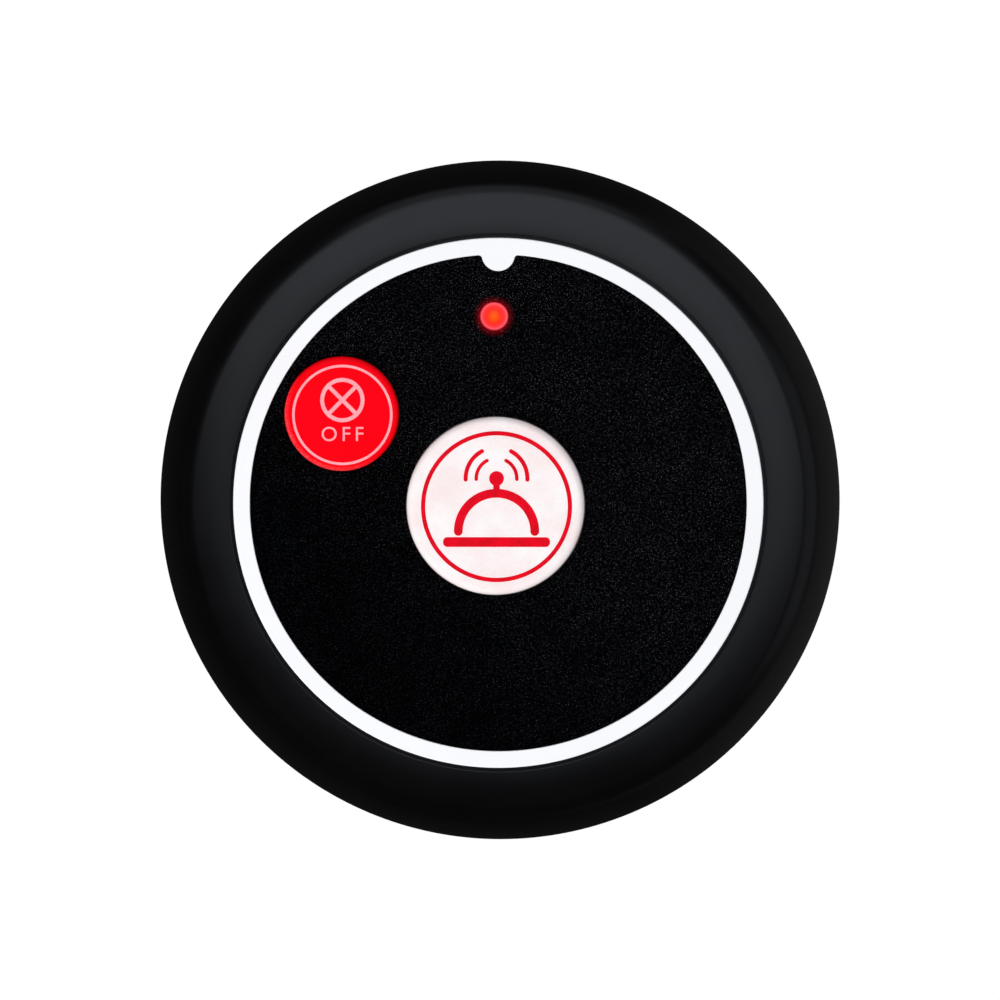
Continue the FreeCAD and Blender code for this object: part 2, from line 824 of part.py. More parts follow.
def trim_disc():
    """White disc: its rim shows round the face, and its underside guides the keys and snaps in."""
    body = new_body("trim_disc")
    disc = new_sketch(body, "trim_round", offset="trim_bottom")
    circle(disc, "0", "0", "trim_radius")
    pad(body, disc, "trim_top - trim_bottom")
    ease_ring(body, "trim_radius", "trim_top", "trim_round")
    recess = new_sketch(body, "trim_recess", offset="trim_top")
    face_outline(recess, "0")
    pocket(body, recess, "trim_top - overlay_floor")

    sleeves = {"call": ("call_x", "call_y"), "cancel": ("cancel_x", "cancel_y")}
    for key, (x, y) in sleeves.items():
        inner = f"{key}_flange + sleeve_play"
        wall = new_sketch(body, f"trim_{key}_sleeve", offset="trim_bottom")
        circle(wall, x, y, f"{inner} + {key}_sleeve_wall")
        circle(wall, x, y, inner)
        pad(body, wall, "sleeve_depth", down=True)
    collar = new_sketch(body, "trim_lamp_collar", offset="trim_bottom")
    circle(collar, "lamp_x", "lamp_y", "collar_outer")
    circle(collar, "lamp_x", "lamp_y", "collar_inner")
    pad(body, collar, "collar_depth", down=True)

    holes = new_sketch(body, "trim_holes", offset="overlay_floor")
    circle(holes, "lamp_x", "lamp_y", "lamp_hole")
    for key, (x, y) in sleeves.items():
        circle(holes, x, y, f"{key}_radius + key_play")
    pocket(body, holes, "overlay_floor - trim_bottom")
    for key, (x, y) in sleeves.items():
        slot = new_sketch(body, f"trim_{key}_tab_slot", offset="trim_bottom")
        half, side = "(tab_width / 2 + tab_play)", TAB_SIDES[key]
        start = f"{x} {side} {key}_flange"
        end = f"{x} {side} ({key}_flange + sleeve_play + {key}_sleeve_wall + cut_past)"
        rectangle(slot, start, end, f"{y} - {half}", f"{y} + {half}")
        pocket(body, slot, "sleeve_depth")

    hook = new_sketch(body, "trim_hook", "XZ_Plane")
    points = [
        ("hook_inner", "trim_bottom"),
        ("hook_inner", "hook_bottom"),
        ("hook_outer", "hook_bottom"),
        ("hook_reach", "hook_catch - hook_land"),
        ("hook_reach", "hook_catch"),
        ("hook_outer", "hook_catch"),
        ("hook_outer", "trim_bottom"),
    ]
    outline(hook, points)
    hook.AttachmentOffset = FreeCAD.Placement(vector(0, 0), FreeCAD.Rotation(vector(0, 1, 0), 1))
    bind(hook, AttachmentOffset__Rotation__Angle="hook_angle")
    leg = pad(body, hook, "hook_width", both=True)
    around(body, [leg], "hook_count")
    stop_key = new_sketch(body, "trim_stop_key", offset="stop_key_bottom")
    key_block(stop_key, "stop_key_inner", "0")
    pad(body, stop_key, "trim_bottom - stop_key_bottom")
    return body


def face_overlay():
    """Black textured face sheet with the notch that the rim's half round key fills."""
    body = new_body("face_overlay")
    face = new_sketch(body, "overlay_face", offset="overlay_floor")
    face_outline(face, "overlay_play")
    circle(face, "lamp_x", "lamp_y", "lamp_radius + overlay_play")
    for key in ("call", "cancel"):
        circle(face, f"{key}_x", f"{key}_y", f"{key}_radius + overlay_hole_play")
    pad(body, face, "overlay_thickness")
    return body


def button_cap(key):
    """A key: a hollow cup with a bevelled top, a flange under the face, ribs, a stem and a keying tab."""
    body = new_body(f"{key}_button")
    x, y = f"{key}_x", f"{key}_y"
    rest = "trim_bottom - rest_gap"

    flange = new_sketch(body, f"{key}_flange_round", offset="flange_bottom")
    circle(flange, x, y, f"{key}_flange")
    pad(body, flange, f"{rest} - flange_bottom")
    crown = new_sketch(body, f"{key}_crown", offset=rest)
    circle(crown, x, y, f"{key}_radius")
    pad(body, crown, f"{key}_top - ({rest})")
    ease_ring(body, f"{key}_radius", f"{key}_top", f"{key}_bevel", x, y, bevel=True)
    hollow = new_sketch(body, f"{key}_hollow", offset="flange_bottom")
    circle(hollow, x, y, f"{key}_cavity")
    pocket(body, hollow, "roof_level - flange_bottom", up=True)

    ribs = new_sketch(body, f"{key}_ribs", offset="rib_level")
    half, reach, arm = "rib_width / 2", f"({key}_cavity + overlap)", "(stem_radius - overlap)"
    for low, high in ((arm, reach), (f"-{reach}", f"-{arm}")):
        rectangle(ribs, f"{x} + {low}", f"{x} + {high}", f"{y} - {half}", f"{y} + {half}")
        rectangle(ribs, f"{x} - {half}", f"{x} + {half}", f"{y} + {low}", f"{y} + {high}")
    pad(body, ribs, "roof_level - rib_level + overlap")
    hub = new_sketch(body, f"{key}_stem_room", offset="rib_level")
    circle(hub, x, y, "stem_room")
    pocket(body, hub, "board_bottom + board_thickness + switch_height - rib_level", up=True)
    stem = new_sketch(body, f"{key}_stem", offset="board_bottom + board_thickness + switch_height")
    circle(stem, x, y, "stem_radius")
    pad(body, stem, "roof_level + overlap - (board_bottom + board_thickness + switch_height)")

    tab = new_sketch(body, f"{key}_tab", offset="flange_bottom")
    side = TAB_SIDES[key]
    start, end = f"{x} {side} ({key}_flange - overlap)", f"{x} {side} {key}_tab_reach"
    rectangle(tab, start, end, f"{y} - tab_width / 2", f"{y} + tab_width / 2")
    pad(body, tab, f"{rest} - flange_bottom")
    return body


# Electronics

BOARD_TOP = "(board_bottom + board_thickness)"


def circuit_board():
    """Round board with a straight edge along the battery bay, and its drilled holes."""
    body = new_body("circuit_board")
    plate = new_sketch(body, "board_plate", offset="board_bottom")
    half_cut = "sqrt(board_radius^2 - board_cut^2)"
    points = [
        (f"-{half_cut}", "board_cut"),
        (half_cut, "board_cut"),
        ("board_radius", "0"),
        ("0", "board_radius"),
        ("-board_radius", "0"),
    ]
    outline(plate, points, {i: ("board_radius", 1) for i in range(1, 5)})
    for x, y in BOARD_SCREWS:
        circle(plate, x, y, "board_hole_radius")
    for side in ("", "-"):
        middle = f"{side}(bay_half_length - contact_sheet / 2)"
        low, high = "blade_end - tail_width - slot_play", "blade_end + slot_play"
        rectangle(plate, f"{middle} - tail_slot_half", f"{middle} + tail_slot_half", low, high)
    pad(body, plate, "board_thickness")

    drills = new_sketch(body, "board_drills", offset="board_bottom + board_thickness")
    for x, y in PIN_PLACES:
        circle(drills, x, y, "pin_hole_radius")
    pocket(body, drills, "board_thickness")
    return body


def switch_pins(key):
    """Places of a click switch's four pins."""
    reach, pitch = "(switch_pin_reach)", "switch_pin_pitch / 2"
    return [(f"{key}_x {a} {reach}", f"{key}_y {b} {pitch}") for a in "+-" for b in "+-"]


def resonator_pins():
    places = [polar("resonator_pin_circle", angle) for angle in (90, 210, 330)]
    return [(f"resonator_x + {x}", f"resonator_y + {y}") for x, y in places]


LAMP_PINS = [(f"lamp_x {side} lead_pitch / 2", "lamp_y") for side in "+-"]
ANTENNA_END = "antenna_x + antenna_pitch * antenna_turns"
COIL_END = "coil_x + coil_pitch * coil_turns"
WIRE_PINS = [
    ("antenna_x", "antenna_y"),
    (ANTENNA_END, "antenna_y"),
    ("coil_x", "coil_y"),
    (COIL_END, "coil_y"),
]
PIN_PLACES = switch_pins("call") + switch_pins("cancel") + LAMP_PINS + resonator_pins() + WIRE_PINS


def click_switch(key):
    """A six millimetre click switch: case, snap dome, plunger, steel cover and pins, each a node."""
    x, y = f"{key}_x", f"{key}_y"
    shell = block(f"{key}_shell", x, y, BOARD_TOP, "switch_width", "switch_width", "switch_case_height")
    well = rod(f"{key}_well", x, y, f"{BOARD_TOP} + case_floor", "case_bore", "switch_case_height")
    case = cut(f"{key}_switch_case", shell, well)

    cover_level = f"{BOARD_TOP} + switch_case_height"
    sheet_size = ("cover_width", "cover_width", "switch_cover")
    sheet_metal = block(f"{key}_cover_sheet", x, y, cover_level, *sheet_size)
    hole_height = "switch_cover + 2 * cut_past"
    hole = rod(f"{key}_cover_hole", x, y, f"{cover_level} - cut_past", "plunger_bore", hole_height)
    cover = cut(f"{key}_switch_cover", sheet_metal, hole)

    plunger_foot = f"{BOARD_TOP} + case_floor + dome_rise + dome_sheet"
    collar_foot, post_foot = f"({plunger_foot} + collar_lift)", f"({plunger_foot} + nib_height)"
    collar_height = f"{cover_level} - rest_gap - {collar_foot}"
    post_height = f"{BOARD_TOP} + switch_height - {post_foot}"
    parts = [
        rod(f"{key}_nib", x, y, plunger_foot, "nib_radius", "nib_height"),
        rod(f"{key}_collar", x, y, collar_foot, "plunger_flange", collar_height),
        rod(f"{key}_post", x, y, post_foot, "plunger_radius", post_height),
    ]
    plunger = joined(f"{key}_switch_plunger", parts)

    pins = []
    for i, (pin_x, pin_y) in enumerate(switch_pins(key), 1):
        sizes = ("switch_pin_thickness", "switch_pin_width")
        bottom = "board_bottom - tail_depth"
        height = "board_thickness + tail_depth + switch_pin_rise"
        pins.append(block(f"{key}_pin_{i}", pin_x, pin_y, bottom, *sizes, height))
    return [case, snap_dome(key), plunger, cover, group(f"{key}_switch_pins", pins)]


def snap_dome(key):
    """Thin sprung steel disc, bowed up in the middle."""
    body = new_body(f"{key}_switch_dome")
    section = new_sketch(body, f"{key}_dome_section", "XZ_Plane")
    foot, top = f"{BOARD_TOP} + case_floor", f"{BOARD_TOP} + case_floor + dome_rise"
    bow = "((dome_radius^2 + dome_rise^2) / (2 * dome_rise))"
    points = [
        ("dome_radius", foot),
        ("dome_radius", f"{foot} + dome_sheet"),
        ("0", f"{top} + dome_sheet"),
        ("0", top),
    ]
    outline(section, points, {1: (bow, 1), 3: (bow, -1)})
    turned(body, section)
    return bind(body, Placement__Base__x=f"{key}_x", Placement__Base__y=f"{key}_y")


def indicator_lamp():
    """Three millimetre red lamp: a clear round body with a domed top and a flange, and its two leads."""
    body = new_body("indicator_lamp")
    section = new_sketch(body, "lamp_section", "XZ_Plane")
    flange_top = "lamp_base + lamp_flange_height"
    top = "lamp_base + lamp_height"
    points = [
        ("0", "lamp_base"),
        ("lamp_flange", "lamp_base"),
        ("lamp_flange", flange_top),
        ("lamp_radius", flange_top),
        ("lamp_radius", f"{top} - lamp_radius"),
        ("0", top),
    ]
    outline(section, points, {4: ("lamp_radius", 1)})
    turned(body, section)
    bind(body, Placement__Base__x="lamp_x", Placement__Base__y="lamp_y")
    leads = []
    for i, (x, y) in enumerate(LAMP_PINS, 1):
        bottom = "board_bottom - tail_depth"
        height = "lamp_base - board_bottom + tail_depth"
        leads.append(block(f"lamp_lead_{i}", x, y, bottom, "lead_width", "lead_width", height))
    return [body, group("lamp_leads", leads)]


def encoder_chip():
    """Eight lead chip that gives the button its code: the moulded body and its gull wing leads."""
    body = new_body("encoder_chip")
    plate = new_sketch(body, "chip_plate", offset=f"{BOARD_TOP} + chip_stand")
    half_x, half_y = "chip_width / 2", "chip_length / 2"
    edges = [f"chip_x - {half_x}", f"chip_x + {half_x}", f"chip_y - {half_y}", f"chip_y + {half_y}"]
    rectangle(plate, *edges)
    pad(body, plate, "chip_height")
    mark = new_sketch(body, "chip_mark", offset=f"{BOARD_TOP} + chip_stand + chip_height")
    mark_x, mark_y = f"chip_x - {half_x} + chip_mark_inset", f"chip_y + {half_y} - chip_mark_inset"
    circle(mark, mark_x, mark_y, "chip_mark_radius")
    pocket(body, mark, "chip_mark_depth")

    leads = new_body("encoder_chip_leads")
    wings = new_sketch(leads, "chip_wings", "XZ_Plane", offset="chip_lead_pitch * (chip_row - 1) / 2 - chip_y")
    for side in "+-":
        gull_wing(wings, side)
    first = pad(leads, wings, "chip_lead_width", both=True)
    row = leads.newObject("PartDesign::LinearPattern", "chip_lead_row")
    row.Originals = [first]
    row.Direction = (origin_part(leads, "Y_Axis"), [""])
    bind(row, Length="chip_lead_pitch * (chip_row - 1)", Occurrences="chip_row")
    leads.Tip = row
    return [body, leads]


def gull_wing(sketch, side):
    """A lead in section: out of the chip's side, down, and out flat on the board."""
    sheet_top, bend = "chip_lead_sheet", f"chip_x {side} (chip_span / 2 - chip_foot)"
    inner_bend = f"chip_x {side} (chip_span / 2 - chip_foot - {sheet_top})"
    root, tip = f"chip_x {side} chip_width / 2", f"chip_x {side} chip_span / 2"
    exit_level = f"{BOARD_TOP} + chip_stand + chip_height / 2"
    points = [
        (root, exit_level),
        (inner_bend, exit_level),
        (inner_bend, BOARD_TOP),
        (tip, BOARD_TOP),
        (tip, f"{BOARD_TOP} + {sheet_top}"),
        (bend, f"{BOARD_TOP} + {sheet_top}"),
        (bend, f"{exit_level} + {sheet_top}"),
        (root, f"{exit_level} + {sheet_top}"),
    ]
    outline(sketch, points)


def rf_resonator():
    """Round metal can that sets the radio frequency, on three pins."""
    body = new_body("rf_resonator")
    section = new_sketch(body, "can_section", "XZ_Plane")
    foot = f"{BOARD_TOP} + resonator_stand"
    flange_top, top = f"{foot} + resonator_flange_height", f"{foot} + resonator_height"
    points = [
        ("0", foot),
        ("resonator_flange", foot),
        ("resonator_flange", flange_top),
        ("resonator_radius", flange_top),
        ("resonator_radius", f"{top} - resonator_round"),
        ("resonator_radius - resonator_round", top),
        ("0", top),
    ]
    outline(section, points, {4: ("resonator_round", 1)})
    turned(body, section)
    pins = new_sketch(body, "can_pins", offset=foot)
    for angle in (90, 210, 330):
        circle(pins, *polar("resonator_pin_circle", angle), "resonator_pin_radius")
    pad(body, pins, f"{foot} - board_bottom + tail_depth", down=True)
    return bind(body, Placement__Base__x="resonator_x", Placement__Base__y="resonator_y")


def rf_transistor():
    """Three lead transistor that drives the aerial."""
    case_size = ("transistor_width", "transistor_length", "transistor_height")
    stand = f"{BOARD_TOP} + transistor_stand"
    parts = [block("transistor_case", "transistor_x", "transistor_y", stand, *case_size)]
    lead_size = ("transistor_lead_length", "transistor_lead_width", "transistor_lead_sheet")
    for i, (side, row) in enumerate((("+", 1), ("+", -1), ("-", 0)), 1):
        x, y = f"transistor_x {side} transistor_lead_x", f"transistor_y + transistor_lead_y * ({row})"
        parts.append(block(f"transistor_lead_{i}", x, y, BOARD_TOP, *lead_size))
    return joined("rf_transistor", parts)


PASSIVES = {
    "chip_capacitors": [("14.4", "5.2", 3), ("24.4", "3.2", 1)],
    "chip_resistors": [("17.4", "5.2", 3), ("-4.8", "17.4", 2)],
}


def passives():
    """Two terminal chips in short columns: bodies by kind, and all their tinned ends together."""
    groups, ends = [], []
    for kind, columns in PASSIVES.items():
        bodies = []
        for column, (x, top, count) in enumerate(columns, 1):
            for i in range(count):
                name = f"{kind}_{column}_{i + 1}"
                y = f"{top} - passive_pitch * {i}"
                core = "passive_length - 2 * passive_end"
                bodies.append(block(name, x, y, BOARD_TOP, core, "passive_width", "passive_height"))
                for side in "+-":
                    end_x = f"{x} {side} (passive_length - passive_end) / 2"
                    label = f"{name}_end_{len(ends) + 1}"
                    sizes = ("passive_end", "passive_width", "passive_height")
                    ends.append(block(label, end_x, y, BOARD_TOP, *sizes))
        groups.append(group(kind, bodies))
    return groups + [group("chip_terminals", ends)]


# Wound wire

STEPS_PER_TURN = 2


def biarc(start, start_way, end, end_way):
    """Two arcs that leave start and reach end in the given directions and meet smoothly."""
    chord, ways = end - start, start_way + end_way
    spread = 2 * (1 - start_way.dot(end_way))
    if spread < 1e-9:
        return [Part.LineSegment(start, end)]
    along = chord.dot(ways)
    arm = (math.sqrt(along**2 + spread * chord.dot(chord)) - along) / spread
    middle = (start + end + (start_way - end_way) * arm) / 2
    arcs = []
    for first, apex, last in ((start, start + start_way * arm, middle), (middle, end - end_way * arm, end)):
        centre = (first + last) / 2
        half = (last - first).Length / 2
        quarter_turn = math.atan2((apex - centre).Length, half) / 2
        top = centre + (apex - centre).normalize() * half * math.tan(quarter_turn)
        arcs.append(Part.Arc(first, top, last))
    return arcs


def winding_path(start_radius, end_radius, length, turns):
    """Points and directions of a winding along the X axis that starts and ends at its lowest point."""
    count = turns * STEPS_PER_TURN
    widening = (end_radius - start_radius) / (2 * math.pi * turns)
    advance = length / (2 * math.pi * turns)
    places, ways = [], []
    for i in range(count + 1):
        share = i / count
        angle = -math.pi / 2 + 2 * math.pi * turns * share
        radius = start_radius + (end_radius - start_radius) * share
        places.append(vector(length * share, radius * math.cos(angle), radius * math.sin(angle)))
        sideways = widening * math.cos(angle) - radius * math.sin(angle)
        upwards = widening * math.sin(angle) + radius * math.cos(angle)
        ways.append(vector(advance, sideways, upwards).normalize())
    return places, ways


def wire_solid(edges, radius):
    """A round wire along joined edges."""
    path = Part.Wire([edge.toShape() for edge in edges])
    first = path.OrderedEdges[0]
    start = first.valueAt(first.FirstParameter)
    way = first.tangentAt(first.FirstParameter)
    ring = Part.Wire([Part.Circle(start, way, radius).toShape()])
    return path.makePipeShell([ring], True, False)


def least_gap(places, wire):
    """Least gap between neighbouring turns, from points one turn apart."""
    pairs = zip(places, places[STEPS_PER_TURN:])
    return min((after - before).Length - wire for before, after in pairs)


def wound_part(name, radii, length, turns, wire, place, tail=0.0):
    """A winding of round wire at a place, with straight tails of that length down from both ends."""
    places, ways = winding_path(radii[0], radii[1], length, turns)
    edges = []
    for i in range(len(places) - 1):
        edges += biarc(places[i], ways[i], places[i + 1], ways[i + 1])
    solid = wire_solid(edges, wire / 2)
    if tail:
        for end in (places[0], places[-1]):
            solid = solid.fuse(Part.makeCylinder(wire / 2, tail, end - vector(0, 0, tail)))
        solid = solid.removeSplitter()
    result = doc.addObject("Part::Feature", name)
    result.Shape = solid
    result.Placement = FreeCAD.Placement(place, FreeCAD.Rotation())
    print(name, "least gap between turns", round(least_gap(places, wire), 2))
    return result


def windings():
    """Aerial and tuning coil, lying on the board with their ends through it."""
    parts = []
    for name, key in (("antenna_coil", "antenna"), ("tuning_coil", "coil")):
        radius, wire = value(f"{key}_radius"), value(f"{key}_wire")
        level = value(f"{BOARD_TOP} + winding_lift") + radius + wire / 2
        turns = int(value(f"{key}_turns"))
        length = value(f"{key}_pitch") * turns
        place = vector(value(f"{key}_x"), value(f"{key}_y"), level)
        tail = level - radius - value("board_bottom - tail_depth")
        parts.append(wound_part(name, (radius, radius), length, turns, wire, place, tail))
    return parts


# Battery and contacts

def battery():
    """Twelve volt cell, twenty eight millimetres long: the steel can with its stud, and the sleeve."""
    can = new_body("battery_cell")
    section = new_sketch(can, "cell_section", "XZ_Plane")
    end, rim = "(cell_length - cell_nub_height)", "cell_radius"
    points = [
        ("0", "0"),
        (f"{rim} - cell_edge", "0"),
        (rim, "cell_edge"),
        (rim, f"{end} - cell_edge"),
        (f"{rim} - cell_edge", end),
        ("cell_nub_radius", end),
        ("cell_nub_radius", f"{end} + cell_nub_height"),
        ("0", f"{end} + cell_nub_height"),
    ]
    outline(section, points, {1: ("cell_edge", 1), 3: ("cell_edge", 1)})
    turned(can, section)

    jacket = new_body("battery_jacket")
    sleeve = new_sketch(jacket, "jacket_section", "XZ_Plane")
    rectangle(sleeve, rim, "jacket_radius", "cell_edge", f"{end} - cell_edge")
    turned(jacket, sleeve)
    for body in (can, jacket):
        body.Placement.Rotation = FreeCAD.Rotation(vector(0, 1, 0), 90)
        bind(
            body,
            Placement__Base__x="cell_left",
            Placement__Base__y="cell_axis_y",
            Placement__Base__z="cell_axis_z",
        )
    return [can, jacket]


def contact(name, side):
    """Stamped spring steel contact: a plate across the bay, a blade over its wall and a solder tail."""
    body = new_body(name)
    middle = f"{side}(bay_half_length - contact_sheet / 2)"
    plate = new_sketch(body, f"{name}_plate", "YZ_Plane", offset=middle)
    left, right = "cell_axis_y - contact_half_width", "cell_axis_y + contact_half_width"
    tail = "blade_end - tail_width"
    points = [
        (left, "contact_low"),
        (right, "contact_low"),
        (right, "blade_bottom"),
        (tail, "blade_bottom"),
        (tail, "tail_tip"),
        ("blade_end", "tail_tip"),
        ("blade_end", "blade_top"),
        ("cell_axis_y - contact_crown", "blade_top"),
        (left, "contact_shoulder"),
    ]
    outline(plate, points)
    pad(body, plate, "contact_sheet", both=True)
    return body


def contacts():
    """Positive contact with its pressed dimple, negative contact, and the tapered spring on it."""
    positive = contact("positive_contact", "")
    dimple = new_sketch(positive, "contact_dimple", "YZ_Plane", offset="bay_half_length - contact_sheet")
    circle(dimple, "cell_axis_y", "cell_axis_z", "dimple_radius")
    pad(positive, dimple, "dimple_height", down=True)
    negative = contact("negative_contact", "-")

    wire = value("spring_wire")
    start = value("-bay_half_length + contact_sheet") + wire / 2
    end = value("cell_left") - wire / 2
    place = vector(start, value("cell_axis_y"), value("cell_axis_z"))
    radii = (value("spring_large_radius"), value("spring_small_radius"))
    turns = int(value("spring_turns"))
    spring = wound_part("contact_spring", radii, end - start, turns, wire, place)
    return [positive, negative, spring]


# Screws

def pan_screw(name, x, y, head_level, head, shank, head_up):
    """A cross recess pan head screw. head and shank are (radius, length); head_up turns it over."""
    head_bottom = head_level if head_up else f"{head_level} - {head[1]}"
    shank_bottom = f"{head_level} - {shank[1]}" if head_up else head_level
    solid = joined(
        f"{name}_blank",
        [
            rod(f"{name}_head", x, y, head_bottom, head[0], head[1]),
            rod(f"{name}_shank", x, y, shank_bottom, shank[0], shank[1]),
        ],
    )
    recess = f"{head_level} + {head[1]} - drive_depth" if head_up else f"{head_level} - {head[1]}"
    arm = f"{head[0]} * drive_share"
    cross = joined(
        f"{name}_drive",
        [
            block(f"{name}_drive_a", x, y, recess, arm, "drive_width", "drive_depth"),
            block(f"{name}_drive_b", x, y, recess, "drive_width", arm, "drive_depth"),
        ],
    )
    return cut(name, solid, cross)


def screws():
    """Three screws that close the shells from below, and three that hold the board."""
    shell_screws, board_screws = [], []
    for i, angle in enumerate((90, 210, 330), 1):
        x, y = polar("boss_circle", angle)
        shank = ("shank_radius", "(shank_top - head_seat)")
        head = ("head_radius", "head_height")
        shell_screws.append(pan_screw(f"shell_screw_{i}", x, y, "head_seat", head, shank, False))
    for i, (x, y) in enumerate(BOARD_SCREWS, 1):
        head = ("board_head_radius", "board_head_height")
        shank = ("board_screw_radius", "board_shank_length")
        board_screws.append(pan_screw(f"board_screw_{i}", x, y, BOARD_TOP, head, shank, True))
    return [group("housing_screws", shell_screws), group("board_screws", board_screws)]


def main():
    fill_sheet()
    nodes = [
        upper_housing(),
        lower_housing(),
        base_plate(),
        anti_slip_ring(),
        trim_disc(),
        face_overlay(),
        button_cap("call"),
        button_cap("cancel"),
        circuit_board(),
        *click_switch("call"),
        *click_switch("cancel"),
        *indicator_lamp(),
        *encoder_chip(),
        rf_resonator(),
        rf_transistor(),
        *passives(),
        *windings(),
        *battery(),
        *contacts(),
        *screws(),
    ]
    doc.recompute()
    failed = [item.Name for item in doc.Objects if {"Invalid", "Error"} & set(item.State)]
    if failed:
        raise ValueError(f"failed: {failed}")
    os.makedirs("parts", exist_ok=True)
    for node in nodes:
        shape = node.Shape
        if shape.isNull() or not shape.isValid() or not shape.Solids:
            raise ValueError(f"{node.Label} has no sound solid")
        shape.exportStep(f"parts/{node.Label}.step")
        print(node.Label, len(shape.Solids), "solids", round(shape.Volume, 2), "mm3")


main()
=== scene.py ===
import json
import math

import bmesh
import bpy
import numpy as np
from mathutils import Matrix, Vector
from mathutils.geometry import tessellate_polygon


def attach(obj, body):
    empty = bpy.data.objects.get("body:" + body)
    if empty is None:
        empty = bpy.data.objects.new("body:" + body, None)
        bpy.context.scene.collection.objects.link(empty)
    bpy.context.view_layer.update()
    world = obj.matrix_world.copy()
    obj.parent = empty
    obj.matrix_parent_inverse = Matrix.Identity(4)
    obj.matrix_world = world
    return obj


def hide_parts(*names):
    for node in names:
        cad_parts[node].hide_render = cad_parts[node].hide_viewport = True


# A round table call button: black puck, white rim, grained black face, a white call key, a red cancel key
# and a lit red lamp. Shapes are given in millimetres, on the table, +Z up, and become metres in addPiece

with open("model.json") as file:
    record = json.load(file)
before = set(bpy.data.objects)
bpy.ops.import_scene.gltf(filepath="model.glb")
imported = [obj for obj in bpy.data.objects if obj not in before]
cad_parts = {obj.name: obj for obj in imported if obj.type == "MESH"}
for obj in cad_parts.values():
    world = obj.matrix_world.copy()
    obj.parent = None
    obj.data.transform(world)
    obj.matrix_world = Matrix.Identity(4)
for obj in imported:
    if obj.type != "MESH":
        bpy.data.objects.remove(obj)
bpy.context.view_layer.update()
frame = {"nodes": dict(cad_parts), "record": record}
nodes = frame["nodes"]
mm = 0.001
turn = 2 * math.pi
thirds = (0, 120, 240)
overlap = 0.1  # how far a piece's parts reach into each other, in millimetres
guard = 0.03  # how wide the first band of a flat face beside a wall is, in millimetres
edgePoints = 5  # points on a rounded edge
rimPoints = 256  # points round a large circle
tubePoints = 48  # points round a tube or a screw's hole
sharpAngle = 32.0  # edges sharper than this stay crisp, in degrees
print("frame loaded:", len(nodes), "CAD nodes")


# Shapes

def circleLoop(radius, x=0.0, y=0.0, count=160):
    # points at equal angles on a circle, anticlockwise
    angle = np.arange(count) * turn / count
    return np.stack([x + radius * np.cos(angle), y + radius * np.sin(angle)], 1)


def arcPoints(x, y, radius, start, end, count):
    # points of a circle about (x, y) from the start angle to the end angle, both in degrees
    angle = np.radians(np.linspace(start, end, count))
    return np.stack([x + radius * np.cos(angle), y + radius * np.sin(angle)], 1)


def leaningArcs(start, lean, arcs, spacing=4.0):
    # arcs that follow each other smoothly: a point with an outward lean a from the vertical lies at its
    # arc's centre + radius * (sin a, cos a), and the next arc's centre lies on the same normal
    points, place = [np.array([start])], np.array(start, float)
    for radius, nextLean in arcs:
        centre = place - radius * np.array([math.sin(math.radians(lean)), math.cos(math.radians(lean))])
        steps = max(2, int(abs(nextLean - lean) / spacing) + 1)
        angle = np.radians(np.linspace(lean, nextLean, steps + 1))[1:]
        points.append(centre + radius * np.stack([np.sin(angle), np.cos(angle)], 1))
        place, lean = points[-1][-1], nextLean
    return np.concatenate(points)


def roundedLoop(corners, radii, steps=5):
    # each corner of a closed line becomes an arc that touches both sides: its ends lie
    # radius / tan(half the corner's inner angle) from the corner, and its points turn about its centre
    here = np.asarray(corners, float)
    radii = np.asarray(radii, float)[:, None]
    back, ahead = np.roll(here, 1, 0) - here, np.roll(here, -1, 0) - here
    back /= np.linalg.norm(back, axis=1, keepdims=True)
    ahead /= np.linalg.norm(ahead, axis=1, keepdims=True)
    half = np.arccos(np.clip(np.sum(back * ahead, 1, keepdims=True), -1, 1)) / 2
    straight = half > math.pi / 2 - 1e-4
    reach = np.where(straight, 0, radii / np.tan(np.where(straight, 1.0, half)))
    start, end = here + back * reach, here + ahead * reach
    middle = back + ahead
    middle /= np.maximum(np.linalg.norm(middle, axis=1, keepdims=True), 1e-9)
    centre = here + middle * np.where(straight, 0, radii / np.sin(half))
    share = np.linspace(0, 1, steps + 1)[None, :, None]
    sweep = math.pi - 2 * half[:, None, :]
    weights = [np.sin((1 - share) * sweep), np.sin(share * sweep)]
    scale = np.maximum(np.sin(sweep), 1e-9)
    arms = [(start - centre)[:, None, :], (end - centre)[:, None, :]]
    arc = centre[:, None, :] + (weights[0] * arms[0] + weights[1] * arms[1]) / scale
    plain = (radii[:, 0] <= 0) | straight[:, 0]
    arc[plain] = here[plain][:, None, :]
    flat = arc.reshape(-1, 2)
    keep = np.linalg.norm(flat - np.roll(flat, 1, 0), axis=1) > 1e-6
    return flat[keep]


def leftSide(loop):
    # every point's left hand normal: the direction from the point before to the point after, turned a
    # quarter to the left
    way = np.roll(loop, -1, 0) - np.roll(loop, 1, 0)
    way /= np.linalg.norm(way, axis=1, keepdims=True)
    return np.stack([-way[:, 1], way[:, 0]], 1)


